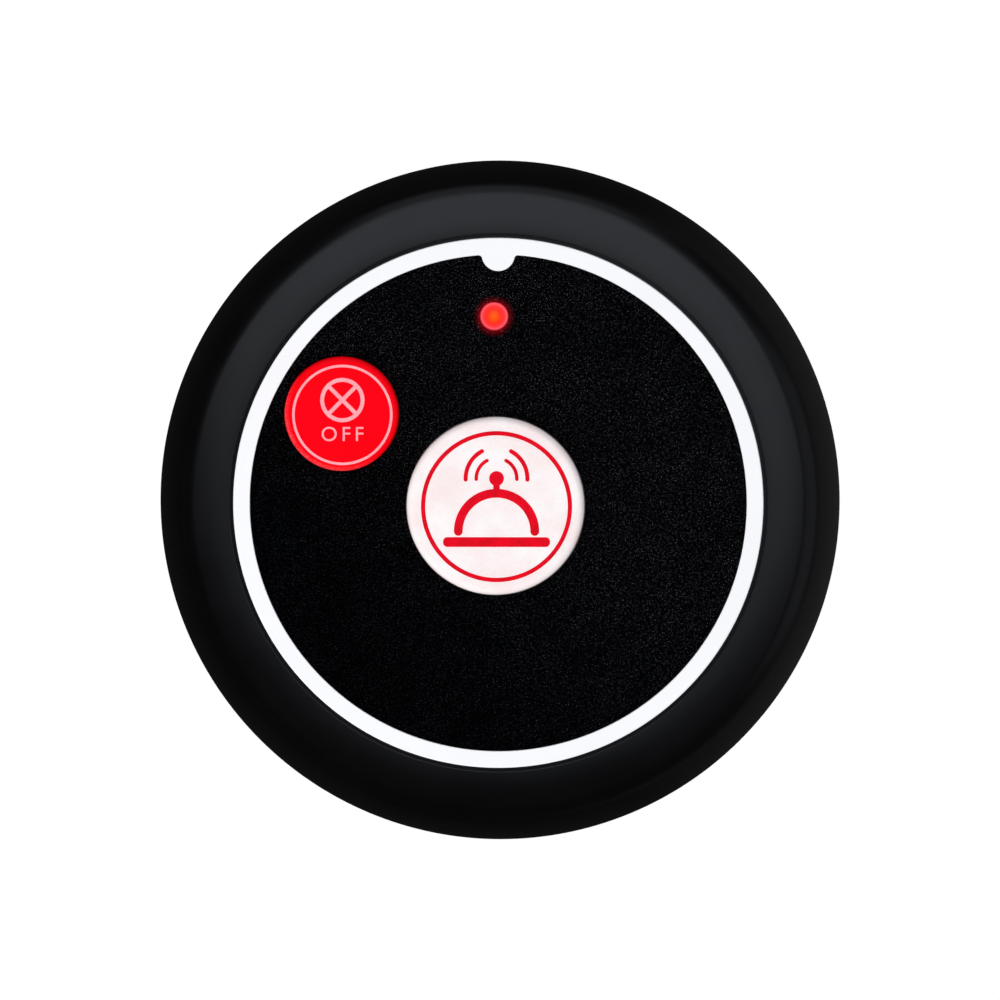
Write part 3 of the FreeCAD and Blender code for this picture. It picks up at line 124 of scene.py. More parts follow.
def faceLoop(radius, notch, corner, notchLevel):
    # a circle with a half round notch about its top; the corner arc touches the circle from inside and
    # the notch from outside, so its centre is (radius - corner) from the middle and (notch + corner) from
    # the notch's centre, which is notchLevel from the middle
    reachRim, reachNotch = radius - corner, notch + corner
    height = (reachRim ** 2 + notchLevel ** 2 - reachNotch ** 2) / (2 * notchLevel)
    side = math.sqrt(reachRim ** 2 - height ** 2)
    rimLean = math.degrees(math.atan2(height, side))
    notchLean = math.degrees(math.atan2(height - notchLevel, side))
    return np.concatenate([
        arcPoints(0, 0, radius, 180 - rimLean, 360 + rimLean, 200)[:-1],
        arcPoints(side, height, corner, rimLean, 180 + notchLean, 9)[:-1],
        arcPoints(0, notchLevel, notch, notchLean, -180 - notchLean, 41)[:-1],
        arcPoints(-side, height, corner, -notchLean, 180 - rimLean, 9)[:-1],
    ])


# Closed shells: a shell is its points and its faces, as lists that from_pydata takes

def gridFaces(rows, columns, start=0, closed=False):
    # quads between neighbouring rows and columns of a grid that is closed along its rows, and along its
    # columns too where closed is set
    row, column = np.meshgrid(np.arange(rows), np.arange(columns if closed else columns - 1), indexing="ij")
    after, beside = (row + 1) % rows, (column + 1) % columns
    corners = [row * columns + column, after * columns + column,
               after * columns + beside, row * columns + beside]
    return (np.stack(corners, -1).reshape(-1, 4) + start).tolist()


def joinedSides(count):
    # quads between two copies of one closed outline
    here = np.arange(count)
    after = (here + 1) % count
    return np.stack([here, after, count + after, count + here], 1).tolist()


def turnedShell(profile, x=0.0, y=0.0, segments=192):
    # a profile of (radius, level) turned about the upright line through (x, y): each point goes to
    # (x + r cos a, y + r sin a, z). A profile that starts and ends on the line gets a pole at each
    # end, and any other is closed on itself
    profile = np.asarray(profile, float)
    onAxis = abs(profile[0, 0]) < 1e-9
    line = profile[1:-1] if onAxis else profile
    angle = np.arange(segments)[:, None] * turn / segments
    level = np.repeat(line[None, :, 1], segments, 0)
    grid = np.stack([x + line[:, 0] * np.cos(angle), y + line[:, 0] * np.sin(angle), level], -1)
    points, columns = grid.reshape(-1, 3), len(line)
    faces = gridFaces(segments, columns, closed=not onAxis)
    if not onAxis:
        return points, faces
    first = np.arange(segments) * columns
    after = (first + columns) % len(points)
    pole = np.full(segments, len(points))
    faces += np.stack([pole, after, first], 1).tolist()
    faces += np.stack([pole + 1, first + columns - 1, after + columns - 1], 1).tolist()
    return np.concatenate([points, [(x, y, profile[0, 1]), (x, y, profile[-1, 1])]]), faces


def walledShell(walls, caps):
    # a wall is a loop carried up a profile of (inset, level), with its points at
    # loop + inset * left hand normal, or a grid as it is. Outer loops run anticlockwise and holes
    # clockwise. Each cap names the (wall, end row) pairs whose rings bound one flat face
    points, faces, starts = [], [], []
    for wall in walls:
        if isinstance(wall, np.ndarray):
            grid = wall
        else:
            loop, profile = wall[0], np.asarray(wall[1], float)
            flat = loop[:, None] + profile[None, :, :1] * leftSide(loop)[:, None]
            grid = np.concatenate([flat, np.repeat(profile[None, :, 1:], len(loop), 0)], -1)
        starts.append((sum(map(len, points)), grid.shape[:2]))
        faces += gridFaces(*grid.shape[:2], starts[-1][0])
        points.append(grid.reshape(-1, 3))
    points = np.concatenate(points)
    for rings in caps:
        index = []
        for wall, end in rings:
            start, (count, columns) = starts[wall]
            index.append(start + np.arange(count) * columns + (columns - 1 if end else 0))
        lines = [[Vector(point) for point in points[ring]] for ring in index]
        faces += np.concatenate(index)[np.array(tessellate_polygon(lines))].tolist()
    return points, faces


def closedShell(walls):
    # walls closed by one flat face above and one below
    return walledShell(walls, [[(wall, end) for wall in range(len(walls))] for end in (1, 0)])


def edgeProfile(bottom, top, rounding=0.0, foot=0.0, ways=(1, 1)):
    # a straight side from bottom to top whose upper edge is a quarter circle, and its lower edge too
    # where foot is given. A guard point at each end lies in the flat face that starts there, and ways
    # says on which side of the loop that face is: 1 left, -1 right
    lower = arcPoints(foot, bottom + foot, foot, 270, 180, edgePoints) if foot else [(0, bottom)]
    upper = arcPoints(rounding, top - rounding, rounding, 180, 90, edgePoints) if rounding else [(0, top)]
    first, last = (foot + ways[0] * guard, bottom), (rounding + ways[1] * guard, top)
    return np.concatenate([[first], lower, upper, [last]])


def plateShell(outer, holes, profile):
    # a flat plate: the outer loop's wall and the holes' walls, closed above and below
    return closedShell([(outer, profile)] + [(hole[::-1], profile) for hole in holes])


def bandLoop(x, y, radius, width, start, end, count=40):
    # a band of even width along an arc, with round ends: the outer arc, a half circle, the inner arc
    # back, and a half circle
    half = width / 2
    ends = [np.array([x + radius * math.cos(math.radians(a)), y + radius * math.sin(math.radians(a))])
            for a in (start, end)]
    return np.concatenate([
        arcPoints(x, y, radius + half, start, end, count)[:-1],
        arcPoints(*ends[1], half, end, end + 180, 9)[:-1],
        arcPoints(x, y, radius - half, end, start, count)[:-1],
        arcPoints(*ends[0], half, start + 180, start + 360, 9)[:-1],
    ])


def barLoop(x, y, length, width, angle=0.0, rounding=0.1):
    # a rectangle with rounded corners about (x, y), turned by the angle: (u cos - v sin, u sin + v cos)
    a, b = length / 2, width / 2
    loop = roundedLoop([(-a, -b), (a, -b), (a, b), (-a, b)], [rounding] * 4, 4)
    c, s = math.cos(math.radians(angle)), math.sin(math.radians(angle))
    return loop @ np.array([[c, s], [-s, c]]) + [x, y]


def sectorLoop(inner, outer, middle, half, rounding, count=24):
    # part of a ring with rounded corners: the outer arc one way and the inner arc back
    arcs = [arcPoints(0, 0, outer, middle - half, middle + half, count),
            arcPoints(0, 0, inner, middle + half, middle - half, count)]
    rounds = np.zeros(2 * count)
    rounds[[0, count - 1, count, 2 * count - 1]] = rounding
    return roundedLoop(np.concatenate(arcs), rounds, 5)


def tubeShell(x, y, outer, inner, low, high):
    # an upright tube between two levels
    outerLoop, innerLoop = [circleLoop(radius, x, y, tubePoints) for radius in (outer, inner)]
    return plateShell(outerLoop, [innerLoop], edgeProfile(low, high))


def radialSlab(corners, thickness, angle):
    # a flat upright plate along a radius: its outline of (radius, level) is moved half the thickness to
    # each side of the radius, and the two outlines are joined by quads
    radius, level = np.array(corners, float).T
    along = np.array([math.cos(math.radians(angle)), math.sin(math.radians(angle))])
    across = np.array([-along[1], along[0]]) * thickness / 2
    sides = [np.column_stack([radius[:, None] * along + move * across, level]) for move in (-1, 1)]
    count = len(radius)
    ends = [list(range(count))[::-1], list(range(count, 2 * count))]
    return np.concatenate(sides), joinedSides(count) + ends


def around(radius, start, count):
    # places at equal angles on a circle, from the start angle, as (x, y, angle in degrees)
    return [(radius * math.cos(a), radius * math.sin(a), math.degrees(a))
            for a in (math.radians(start) + turn * i / count for i in range(count))]


# Pieces

def facedOutward(mesh, merge=0.0):
    # joins points nearer than merge, in millimetres, and turns every face out of its closed shell
    shape = bmesh.new()
    shape.from_mesh(mesh)
    if merge:
        bmesh.ops.remove_doubles(shape, verts=shape.verts, dist=merge * mm)
    bmesh.ops.recalc_face_normals(shape, faces=shape.faces)
    shape.to_mesh(mesh)
    shape.free()


def placePiece(name, mesh, material, body):
    # gives the mesh its finish and puts it in the scene, on its body
    mesh.materials.clear()
    mesh.materials.append(material)
    piece = bpy.data.objects.new(name, mesh)
    bpy.context.scene.collection.objects.link(piece)
    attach(piece, body)
    return piece


def addPiece(name, shells, material, body, replaces=()):
    # joins closed shells in one mesh, in metres, with smooth shading that breaks at real edges
    points, faces = [], []
    for shellPoints, shellFaces in shells:
        start = sum(map(len, points))
        points.append(shellPoints)
        faces += [[index + start for index in face] for face in shellFaces]
    mesh = bpy.data.meshes.new(name)
    mesh.from_pydata((np.concatenate(points) * mm).tolist(), [], faces)
    facedOutward(mesh)
    mesh.polygons.foreach_set("use_smooth", np.ones(len(faces), bool))
    mesh.set_sharp_from_angle(angle=math.radians(sharpAngle))
    mesh.update()
    piece = placePiece(name, mesh, material, body)
    if replaces:
        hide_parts(*replaces)


# Materials

def linearColour(code):
    # an sRGB hex value as the linear colour that a shader takes: c / 12.92 up to 0.04045, and above
    # that ((c + 0.055) / 1.055) to the power of 2.4
    channels = [int(code[i:i + 2], 16) / 255 for i in (1, 3, 5)]
    return (*[c / 12.92 if c <= 0.04045 else ((c + 0.055) / 1.055) ** 2.4 for c in channels], 1.0)


def addNode(tree, kind, sockets=(), **settings):
    # one node with its settings. sockets are in the node's own order, or named or numbered in a dictionary.
    # Each is set to a value, or linked to an output or to a node's first output. A Map Range node takes its
    # value, from low and high, and to low and high. A Mix node mixes its sockets 2 and 3, or colours 6 and 7
    node = tree.nodes.new("ShaderNode" + kind)
    for name, setting in settings.items():
        setattr(node, name, setting)
    for key, given in sockets.items() if isinstance(sockets, dict) else enumerate(sockets):
        if isinstance(given, bpy.types.Node):
            given = given.outputs[0]
        if isinstance(given, bpy.types.NodeSocket):
            tree.links.new(given, node.inputs[key])
        else:
            node.inputs[key].default_value = given
    return node


def startMaterial(name, **shaderSockets):
    # a material with one Principled shader and the object's own coordinates
    material = bpy.data.materials.new(name)
    material.use_nodes = True
    tree = material.node_tree
    tree.nodes.clear()
    shader = addNode(tree, "BsdfPrincipled", shaderSockets)
    addNode(tree, "OutputMaterial", {"Surface": shader})
    place = addNode(tree, "TexCoord").outputs["Object"]
    return material, tree, shader, place


def mouldedFinish(name, colour, other, roughness, grain, depth, mottle=6.0, speckle=0.2, **shaderSockets):
    # moulded plastic: the tool's fine spark grain as bump, a faint cloud in colour, and small changes of
    # gloss where it was handled. grain, depth and mottle are in millimetres, speckle is the grain's share
    # of the colour, and gloss runs from roughness - 0.02 to roughness + 0.02
    material, tree, shader, place = startMaterial(name, **shaderSockets)
    cloud = addNode(tree, "TexNoise", {"Vector": place, "Scale": 1 / (mottle * mm), "Detail": 3.0})
    grains = addNode(tree, "TexNoise", {"Vector": place, "Scale": 1 / (grain * mm), "Detail": 1.5})
    cloudShare = addNode(tree, "MapRange", [cloud, 0.35, 0.65])
    grainShare = addNode(tree, "MapRange", [grains, 0.3, 0.7])
    share = addNode(tree, "Mix", {0: speckle, 2: cloudShare, 3: grainShare}, data_type="FLOAT")
    colours = addNode(tree, "Mix", {0: share, 6: linearColour(colour), 7: linearColour(other)},
                      data_type="RGBA")
    tree.links.new(colours.outputs[2], shader.inputs["Base Color"])
    gloss = addNode(tree, "MapRange", [cloud, 0.3, 0.7, roughness - 0.02, roughness + 0.02])
    tree.links.new(gloss.outputs[0], shader.inputs["Roughness"])
    bump = addNode(tree, "Bump", {"Strength": 1.0, "Distance": depth * mm, "Height": grains})
    tree.links.new(bump.outputs[0], shader.inputs["Normal"])
    return material, tree, shader, place


def blackAbs():
    # ABS, moulded in a lightly sparked tool: a deep black with a broad soft sheen
    return mouldedFinish("mouldedBlackAbs", "#020203", "#030304", 0.3, 0.14, 0.0012, IOR=1.53)[0]


def whiteAbs():
    # ABS with titanium white, polished: bright, cool, and evenly glossy
    return mouldedFinish("mouldedWhiteAbs", "#f5f5f7", "#f7f7f8", 0.3, 0.3, 0.0006, IOR=1.53)[0]


def whiteKeyAbs():
    # white ABS from a coarser sparked tool, slightly warm, so the grain shows on the rounded edge
    return mouldedFinish("sparkedWhiteAbs", "#f8e4e2", "#fcf8f7", 0.5, 0.16, 0.009, mottle=3.2, speckle=0.35,
                         IOR=1.53)[0]


# settings of a painted pale glint on the red key's edge that faces the lower left
paintedEdgeGlintLook = {
    "way": (-0.7, -0.7, 0.0), "facing": (0.05, 0.6), "most": 0.75, "speck": 0.16, "speckCut": (0.44, 0.6),
    "speckLeast": 0.1, "colour": "#ff5a60",
}


def redKeyAbs(s):
    # red ABS from the same tool: saturated, with a painted pale glint in specks on the edge that faces the
    # lower left, as if lit from there.
    # painted glint share = how far the surface faces that way * speck noise, each held to its range
    finish, tree, shader, place = mouldedFinish("sparkedRedAbs", "#f60010", "#fc0014", 0.42, 0.16, 0.009,
                                                **{"IOR": 1.53, "Specular IOR Level": 0.03})
    normal = addNode(tree, "TexCoord").outputs["Normal"]
    facing = addNode(tree, "VectorMath", [normal, s["way"]], operation="DOT_PRODUCT").outputs["Value"]
    facing = addNode(tree, "MapRange", [facing, *s["facing"], 0, s["most"]])
    specks = addNode(tree, "TexNoise", {"Vector": place, "Scale": 1 / (s["speck"] * mm), "Detail": 1.5})
    specks = addNode(tree, "MapRange", [specks, *s["speckCut"], s["speckLeast"], 1])
    # painted highlight: pale specks where the edge faces the lower left
    edgeGlintShare = addNode(tree, "Math", [facing, specks], operation="MULTIPLY")
    plain = shader.inputs["Base Color"].links[0].from_socket
    glintedColour = addNode(tree, "Mix", {0: edgeGlintShare, 6: plain, 7: linearColour(s["colour"])}, data_type="RGBA")
    tree.links.new(glintedColour.outputs[2], shader.inputs["Base Color"])
    return finish


# the film's painted light: a glint colour on the pebbles, a rise that paints them brighter towards the upper
# right, and the lamp's glow painted on the film
filmLook = {
    "black": "#000001", "paintedGlint": "#76767e", "pebble": 0.14, "pebbleCut": (0.545, 0.82), "pebblePower": 1.8,
    "pebbleHeight": 0.01, "patch": 5.0, "patchLeast": 0.6, "paintedLightRise": (-25.0, 5.0), "paintedLightLeast": 0.36,
    "glow": "#ff0022", "glowReach": 2.4, "glowPower": 2.0, "glowMost": 0.16,
}


def blackFilm(s, lamp):
    # grained polycarbonate film, printed black behind: near black, with a painted bluish grey glint on its
    # pebbles, painted a little brighter towards the upper right as if lit from there, and the lamp's red
    # light painted on it as emission. The real grain is finer than the render can show, so the pebbles are
    # 0.14 mm across.
    # painted glint = pebble noise ^ power * patches * painted rise with x + y, and painted glow = most * (1 -
    # distance) ^ power
    material, tree, shader, place = startMaterial("grainedBlackFilm", IOR=1.58, Roughness=0.45)
    grain = addNode(tree, "TexNoise", {"Vector": place, "Scale": 1 / (s["pebble"] * mm), "Detail": 2.0,
                                       "Roughness": 0.6})
    pebble = addNode(tree, "MapRange", [grain, *s["pebbleCut"]])
    pebble = addNode(tree, "Math", [pebble, s["pebblePower"]], operation="POWER")
    patches = addNode(tree, "TexNoise", {"Vector": place, "Scale": 1 / (s["patch"] * mm), "Detail": 2.0})
    patches = addNode(tree, "MapRange", [patches, 0.3, 0.7, s["patchLeast"], 1])
    parts = addNode(tree, "SeparateXYZ", [place])
    # painted light: the glints grow brighter towards the upper right, as if lit from there
    paintedLightRise = addNode(tree, "Math", [parts.outputs[0], parts.outputs[1]], operation="ADD")
    paintedLightRise = addNode(tree, "MapRange", [paintedLightRise, s["paintedLightRise"][0] * mm, s["paintedLightRise"][1] * mm, s["paintedLightLeast"], 1])
    # random patches times that painted rise of light
    patchesAndPaintedLight = addNode(tree, "Math", [patches, paintedLightRise], operation="MULTIPLY")
    amount = addNode(tree, "Math", [pebble, patchesAndPaintedLight], operation="MULTIPLY")
    # painted glint: the pebbles' colour mixed from black to bluish grey
    colours = addNode(tree, "Mix", {0: amount, 6: linearColour(s["black"]), 7: linearColour(s["paintedGlint"])},
                      data_type="RGBA")
    tree.links.new(colours.outputs[2], shader.inputs["Base Color"])
    shader.inputs["Specular IOR Level"].default_value = 0.008
    bump = addNode(tree, "Bump", {"Strength": 1.0, "Distance": s["pebbleHeight"] * mm, "Height": grain})
    tree.links.new(bump.outputs[0], shader.inputs["Normal"])
    # painted glow: the lamp's red light spilt on the film, given as emission
    away = distanceFrom(tree, place, lamp)
    glow = addNode(tree, "MapRange", [away, lamp["radius"] * mm, s["glowReach"] * mm, 1, 0])
    glow = addNode(tree, "Math", [glow, s["glowPower"]], operation="POWER")
    glow = addNode(tree, "Math", [glow, s["glowMost"]], operation="MULTIPLY")
    shader.inputs["Emission Color"].default_value = linearColour(s["glow"])
    tree.links.new(glow.outputs[0], shader.inputs["Emission Strength"])
    return material


def distanceFrom(tree, place, lamp):
    # how far a point is from the lamp's upright axis, in metres: the length of (x - lamp x, y - lamp y, 0)
    centred = addNode(tree, "Mapping", {"Vector": place, "Location": (-lamp["x"] * mm, -lamp["y"] * mm, 0)},
                      vector_type="POINT")
    parts = addNode(tree, "SeparateXYZ", [centred])
    across = addNode(tree, "CombineXYZ", [parts.outputs[0], parts.outputs[1]])
    return addNode(tree, "VectorMath", [across], operation="LENGTH").outputs["Value"]


glowColours = [(0.0, "#ff6400"), (0.2, "#ff5a08"), (0.5, "#ff3420"), (0.78, "#ff3c42"), (0.92, "#ff5f6a"),
               (1.0, "#b02834")]


def litEpoxy(lamp):
    # clear red epoxy lit from inside: an orange die in the middle, red round it, and a pink rim, by the
    # distance from the lamp's axis as a share of its radius
    material, tree, shader, place = startMaterial("litRedEpoxy", IOR=1.52, Roughness=0.12)
    share = addNode(tree, "MapRange", [distanceFrom(tree, place, lamp), 0, lamp["radius"] * mm])
    ramp = addNode(tree, "ValToRGB", [share])
    while len(ramp.color_ramp.elements) < len(glowColours):
        ramp.color_ramp.elements.new(0.5)
    for stop, (position, code) in zip(ramp.color_ramp.elements, glowColours):
        stop.position = position
        stop.color = linearColour(code)
    shader.inputs["Base Color"].default_value = linearColour("#7a0808")
    tree.links.new(ramp.outputs[0], shader.inputs["Emission Color"])
    shader.inputs["Emission Strength"].default_value = 0.9
    shader.inputs["Specular IOR Level"].default_value = 0.15
    return material


def padInk(name, colour, other):
    # pad printed ink: a dull thin layer with small uneven patches
    return mouldedFinish(name, colour, other, 0.5, 0.14, 0.003, mottle=1.2, speckle=0.5,
                         **{"Specular IOR Level": 0.1})[0]


def plainFinish(name, colour, other, roughness, grain, depth, **shaderSockets):
    # a finish for a small piece: the moulded one with a cloud 3 mm wide
    return mouldedFinish(name, colour, other, roughness, grain, depth, mottle=3.0, **shaderSockets)[0]


lampSize = {"x": -0.46, "y": 20.25, "radius": 1.5, "flange": 1.9, "base": 10.7, "flangeTop": 11.7,
            "top": 16.0, "segments": 64}

finishes = {
    "black_abs": blackAbs(),
    "white_abs": whiteAbs(),
    "black_film": blackFilm(filmLook, lampSize),
    "white_key": whiteKeyAbs(),
    "red_key": redKeyAbs(paintedEdgeGlintLook),
    "lamp_epoxy": litEpoxy(lampSize),
    # nitrile rubber, die cut: dull and slightly dusty
    "rubber_pad": plainFinish("dieCutRubber", "#1b1b1b", "#222222", 0.85, 0.25, 0.02),
    # green solder lacquer on glass laminate
    "board_laminate": plainFinish("greenLacquer", "#0c5a2c", "#0e6632", 0.35, 0.5, 0.003),
    "switch_plastic": plainFinish("blackNylon", "#161616", "#1c1c1c", 0.5, 0.2, 0.003),
    "plunger_plastic": plainFinish("blackAcetal", "#1a1a1a", "#202020", 0.4, 0.2, 0.002),
    "spring_steel": plainFinish("rolledSpringSteel", "#b4b4b2", "#c0c0be", 0.28, 0.12, 0.001, Metallic=1.0),
    "tinned_metal": plainFinish("tinnedBrass", "#c2c2c0", "#cfcfcb", 0.35, 0.2, 0.002, Metallic=1.0),
    "chip_plastic": plainFinish("blackEpoxy", "#1d1d1f", "#252527", 0.6, 0.12, 0.004),
    "resonator_can": plainFinish("drawnNickelCan", "#b9b4a8", "#c6c1b4", 0.25, 0.2, 0.001, Metallic=1.0),
    "capacitor_ceramic": plainFinish("firedCeramic", "#8c6a48", "#997653", 0.55, 0.2, 0.002),
    "copper_wire": plainFinish("enamelledCopper", "#b4592c", "#c0653a", 0.22, 0.3, 0.001, Metallic=1.0),
    "battery_can": plainFinish("nickelSteelCan", "#b8b8b4", "#c4c4c0", 0.3, 0.2, 0.001, Metallic=1.0),
    "battery_sleeve": plainFinish("shrunkSleeve", "#1b2350", "#202a5c", 0.3, 0.6, 0.004),
    "screw_steel": plainFinish("zincPlatedSteel", "#a6a8aa", "#b4b6b8", 0.32, 0.2, 0.002, Metallic=1.0),
    "red_ink": padInk("redPadInk", "#c80018", "#f40020"),
    # white ink, thin enough for the red to show through
    "pink_ink": padInk("pinkPadInk", "#fc94a0", "#fcb6ba"),
}
for row in frame["record"]["subparts"]:
    mesh = nodes[row["node"]].data
    mesh.materials.clear()
    mesh.materials.append(finishes[row["material_slot"]])
print("finishes made:", len(finishes))


# Bezel: steep side, round shoulder and falling crown, with the recess for the white disc

bezelSize = {
    "seamRadius": 37.0, "seamTop": 8.1, "seamLean": 80.29,
    "arcs": [(18.0, 61.0), (3.0, 12.0), (30.0, 5.23)],
    "recess": 29.2, "discFloor": 14.1, "shelf": 27.8, "shelfBottom": 12.8, "shelfBand": 30.9,
    "coreLevel": 13.8, "coreTurn": (32.9, 13.7), "coreLow": 33.9, "wall": 35.3, "wallStart": 9.4,
    "edgeRound": 0.08, "seamRound": 0.12,
    "bossCircle": 31.0, "bossAngle": 90.0, "boss": 2.6, "pilot": 1.12, "bossTop": 13.9,
    "gussetWidth": 0.9, "gussetFoot": 9.6, "gussetTop": 13.5, "gussetReach": (35.6, 34.4),
}


def bezelShells(s):
    # a turned shell: the side and crown outside as arcs, then down the recess and round the shelf, core and
    # wall inside. Three screw bosses, each with a gusset, stand against the wall
    outer = leaningArcs((s["seamRadius"], s["seamTop"]), s["seamLean"], s["arcs"])
    inner = [
        (s["recess"], outer[-1, 1]), (s["recess"], s["discFloor"]), (s["shelf"], s["discFloor"]),
        (s["shelf"], s["shelfBottom"]), (s["shelfBand"], s["shelfBottom"]), (s["shelfBand"], s["coreLevel"]),
        s["coreTurn"], (s["coreLow"], s["shelfBottom"]), (s["wall"], s["wallStart"]),
        (s["wall"], s["seamTop"]),
    ]
    corners = np.concatenate([outer[:-1], inner])
    rounds = np.zeros(len(corners))
    rounds[0] = s["seamRound"]
    rounds[len(outer) - 1] = s["edgeRound"]
    shells = [turnedShell(roundedLoop(corners, rounds), segments=rimPoints)]
    side = s["bossCircle"] + s["boss"] - 2 * overlap
    gusset = [(side, s["gussetFoot"]), (s["gussetReach"][0], s["gussetFoot"]),
              (s["gussetReach"][1], s["shelfBottom"]), (side, s["gussetTop"])]
    for x, y, angle in around(s["bossCircle"], s["bossAngle"], 3):
        shells.append(tubeShell(x, y, s["boss"], s["pilot"], s["seamTop"], s["bossTop"]))
        shells.append(radialSlab(gusset, s["gussetWidth"], angle))
    return shells


addPiece("bezel", bezelShells(bezelSize), finishes["black_abs"], "housing", ["upper_housing"])


# Rear shell: belly, skirt, floor and the ledges that the base's lugs turn behind

rearSize = {
    "top": 7.8, "topRadius": 36.75, "lip": 35.1, "lipTop": 9.1, "cavity": 34.1, "floorTop": 6.3,
    "floorBottom": 4.9, "channel": 33.1, "ledgeTop": 3.2, "ledge": 31.7, "foot": 1.2, "skirt": 33.6,
    "bellyCentre": (25.812, 8.969), "bellyCurve": 11.0, "skirtRound": 0.4, "topRound": 0.12,
    "entryMiddle": 10.0, "entryHalf": 10.5, "entryLean": 0.02, "entryPlay": 0.02, "wallStep": 1.5,
    "stops": (41.2, -1.2), "stopHalf": 1.6, "stopRound": 0.1,
    "tubeCircle": 31.0, "tube": 3.3, "headRoom": 2.25, "headSeat": 6.5, "shank": 1.25, "tubeTop": 8.1,
    "tubeAngle": 90.0, "tubeOpening": 2.9, "bayOpening": (33.8, 11.4), "openingRound": 0.2,
    "posts": [(23.022, 8.379), (9.178, 22.716), (-24.44, -1.709)], "post": 2.6, "pilot": 0.97, "postTop": 8.5,
    "bayY": -17.0, "bayLevel": 7.4, "bayInner": 5.4, "bayOuter": 6.4, "bayHalf": 16.7, "bayEnd": 1.2,
}


def rearShells(s):
    # the wall is a grid turned round the middle: channel and ledge, belly, lip and cavity. Two flat faces
    # close it to the floor, with openings for the battery bay and the screw tubes
    x, y = s["bellyCentre"]
    angles = [math.degrees(math.atan2(level - y, radius - x)) for radius, level in
              ((s["skirt"], s["foot"]), (s["topRadius"], s["top"]))]
    belly = arcPoints(x, y, s["bellyCurve"], *angles, 14)
    inner = [(s["lip"], s["top"]), (s["lip"], s["lipTop"]), (s["cavity"], s["lipTop"]),
             (s["cavity"], s["floorTop"])]
    low = [(s["channel"], s["floorBottom"]), (s["channel"], s["ledgeTop"]), (s["ledge"], s["ledgeTop"]),
           (s["ledge"], s["foot"])]
    corners = np.concatenate([low, belly, inner])
    rounds = np.zeros(len(corners))
    rounds[len(low)] = s["skirtRound"]
    rounds[len(low) + len(belly) - 1] = s["topRound"]
    profile = roundedLoop(corners, rounds)
    edges = [s["entryMiddle"] + side * s["entryHalf"] + lean + third
             for third in thirds for side in (-1, 1) for lean in (-s["entryLean"], s["entryLean"])]
    degrees = np.unique(np.concatenate([np.arange(0, 360, s["wallStep"]), np.array(edges) % 360]))[:, None]
    # less than half an entry away from the nearest entry's middle, the ledge is cut back to the channel
    away = np.abs((degrees - s["entryMiddle"] + 60) % 120 - 60)
    radius, level = [np.repeat(profile[None, :, axis], len(degrees), 0) for axis in (0, 1)]
    entry = (away < s["entryHalf"]) & (radius < s["channel"])
    radius = np.where(entry, s["channel"] - s["entryPlay"], radius)
    angle = np.radians(degrees)
    grid = np.stack([radius * np.cos(angle), radius * np.sin(angle), level], -1)
    opening = barLoop(0, s["bayY"], *s["bayOpening"], 0, s["openingRound"])
    tubes = around(s["tubeCircle"], s["tubeAngle"], 3)
    holes = [opening] + [circleLoop(s["tubeOpening"], x, y, tubePoints) for x, y, _ in tubes]
    wall = edgeProfile(s["floorBottom"], s["floorTop"])
    shells = [closedShell([grid] + [(hole[::-1], wall) for hole in holes])]
    for x, y, _ in tubes:
        shells.append(tubeShell(x, y, s["tube"], s["headRoom"], s["floorBottom"], s["headSeat"]))
        shells.append(tubeShell(x, y, s["tube"], s["shank"], s["headSeat"], s["tubeTop"]))
    postFoot = s["floorTop"] - 2 * overlap
    shells += [tubeShell(x, y, s["post"], s["pilot"], postFoot, s["postTop"]) for x, y in s["posts"]]
    stopSide = edgeProfile(s["ledgeTop"] - overlap, s["floorBottom"] + overlap)
    for middle in [stop + third for stop in s["stops"] for third in thirds]:
        stop = sectorLoop(s["ledge"], s["channel"] + 2 * overlap, middle, s["stopHalf"], s["stopRound"], 6)
        shells.append(plateShell(stop, [], stopSide))
    return shells + bayShells(s)


def archLoop(s, radius):
    # the bay's section as (y, level): up one side, round over the cell's axis, and down the other
    arc = arcPoints(s["bayY"], s["bayLevel"], radius, 0, 180, 33)
    feet = [[(s["bayY"] + side * radius, s["floorBottom"])] for side in (1, -1)]
    return np.concatenate([feet[0], arc, feet[1]])


def carriedShell(outline, start, end, cap):
    # an outline of (y, level) carried along x from start to end, with the cap's faces at both ends
    count = len(outline)
    ends = [np.column_stack([np.full(count, x), outline]) for x in (start, end)]
    return np.concatenate(ends), joinedSides(count) + cap.tolist() + (cap[:, ::-1] + count).tolist()


def bayShells(s):
    # the battery bay: a band between two arches, carried along x, and a solid arch as each end wall. The
    # band's ends are quads from arch to arch, and an arch's end is a fan from its first point
    outer, inner = archLoop(s, s["bayOuter"]), archLoop(s, s["bayInner"])
    length, last = s["bayHalf"] + s["bayEnd"], 2 * len(outer) - 1
    i = np.arange(len(outer) - 1)
    quads = np.stack([i + 1, i, last - i, last - i - 1], 1)
    fan = np.stack([i[1:] * 0, i[1:] + 1, i[1:]], 1)
    shells = [carriedShell(np.concatenate([outer, inner[::-1]]), -length, length, quads)]
    return shells + [carriedShell(outer, side * s["bayHalf"], side * length, fan) for side in (-1, 1)]


addPiece("rearShell", rearShells(rearSize), finishes["black_abs"], "housing", ["lower_housing"])


# White disc and grained face

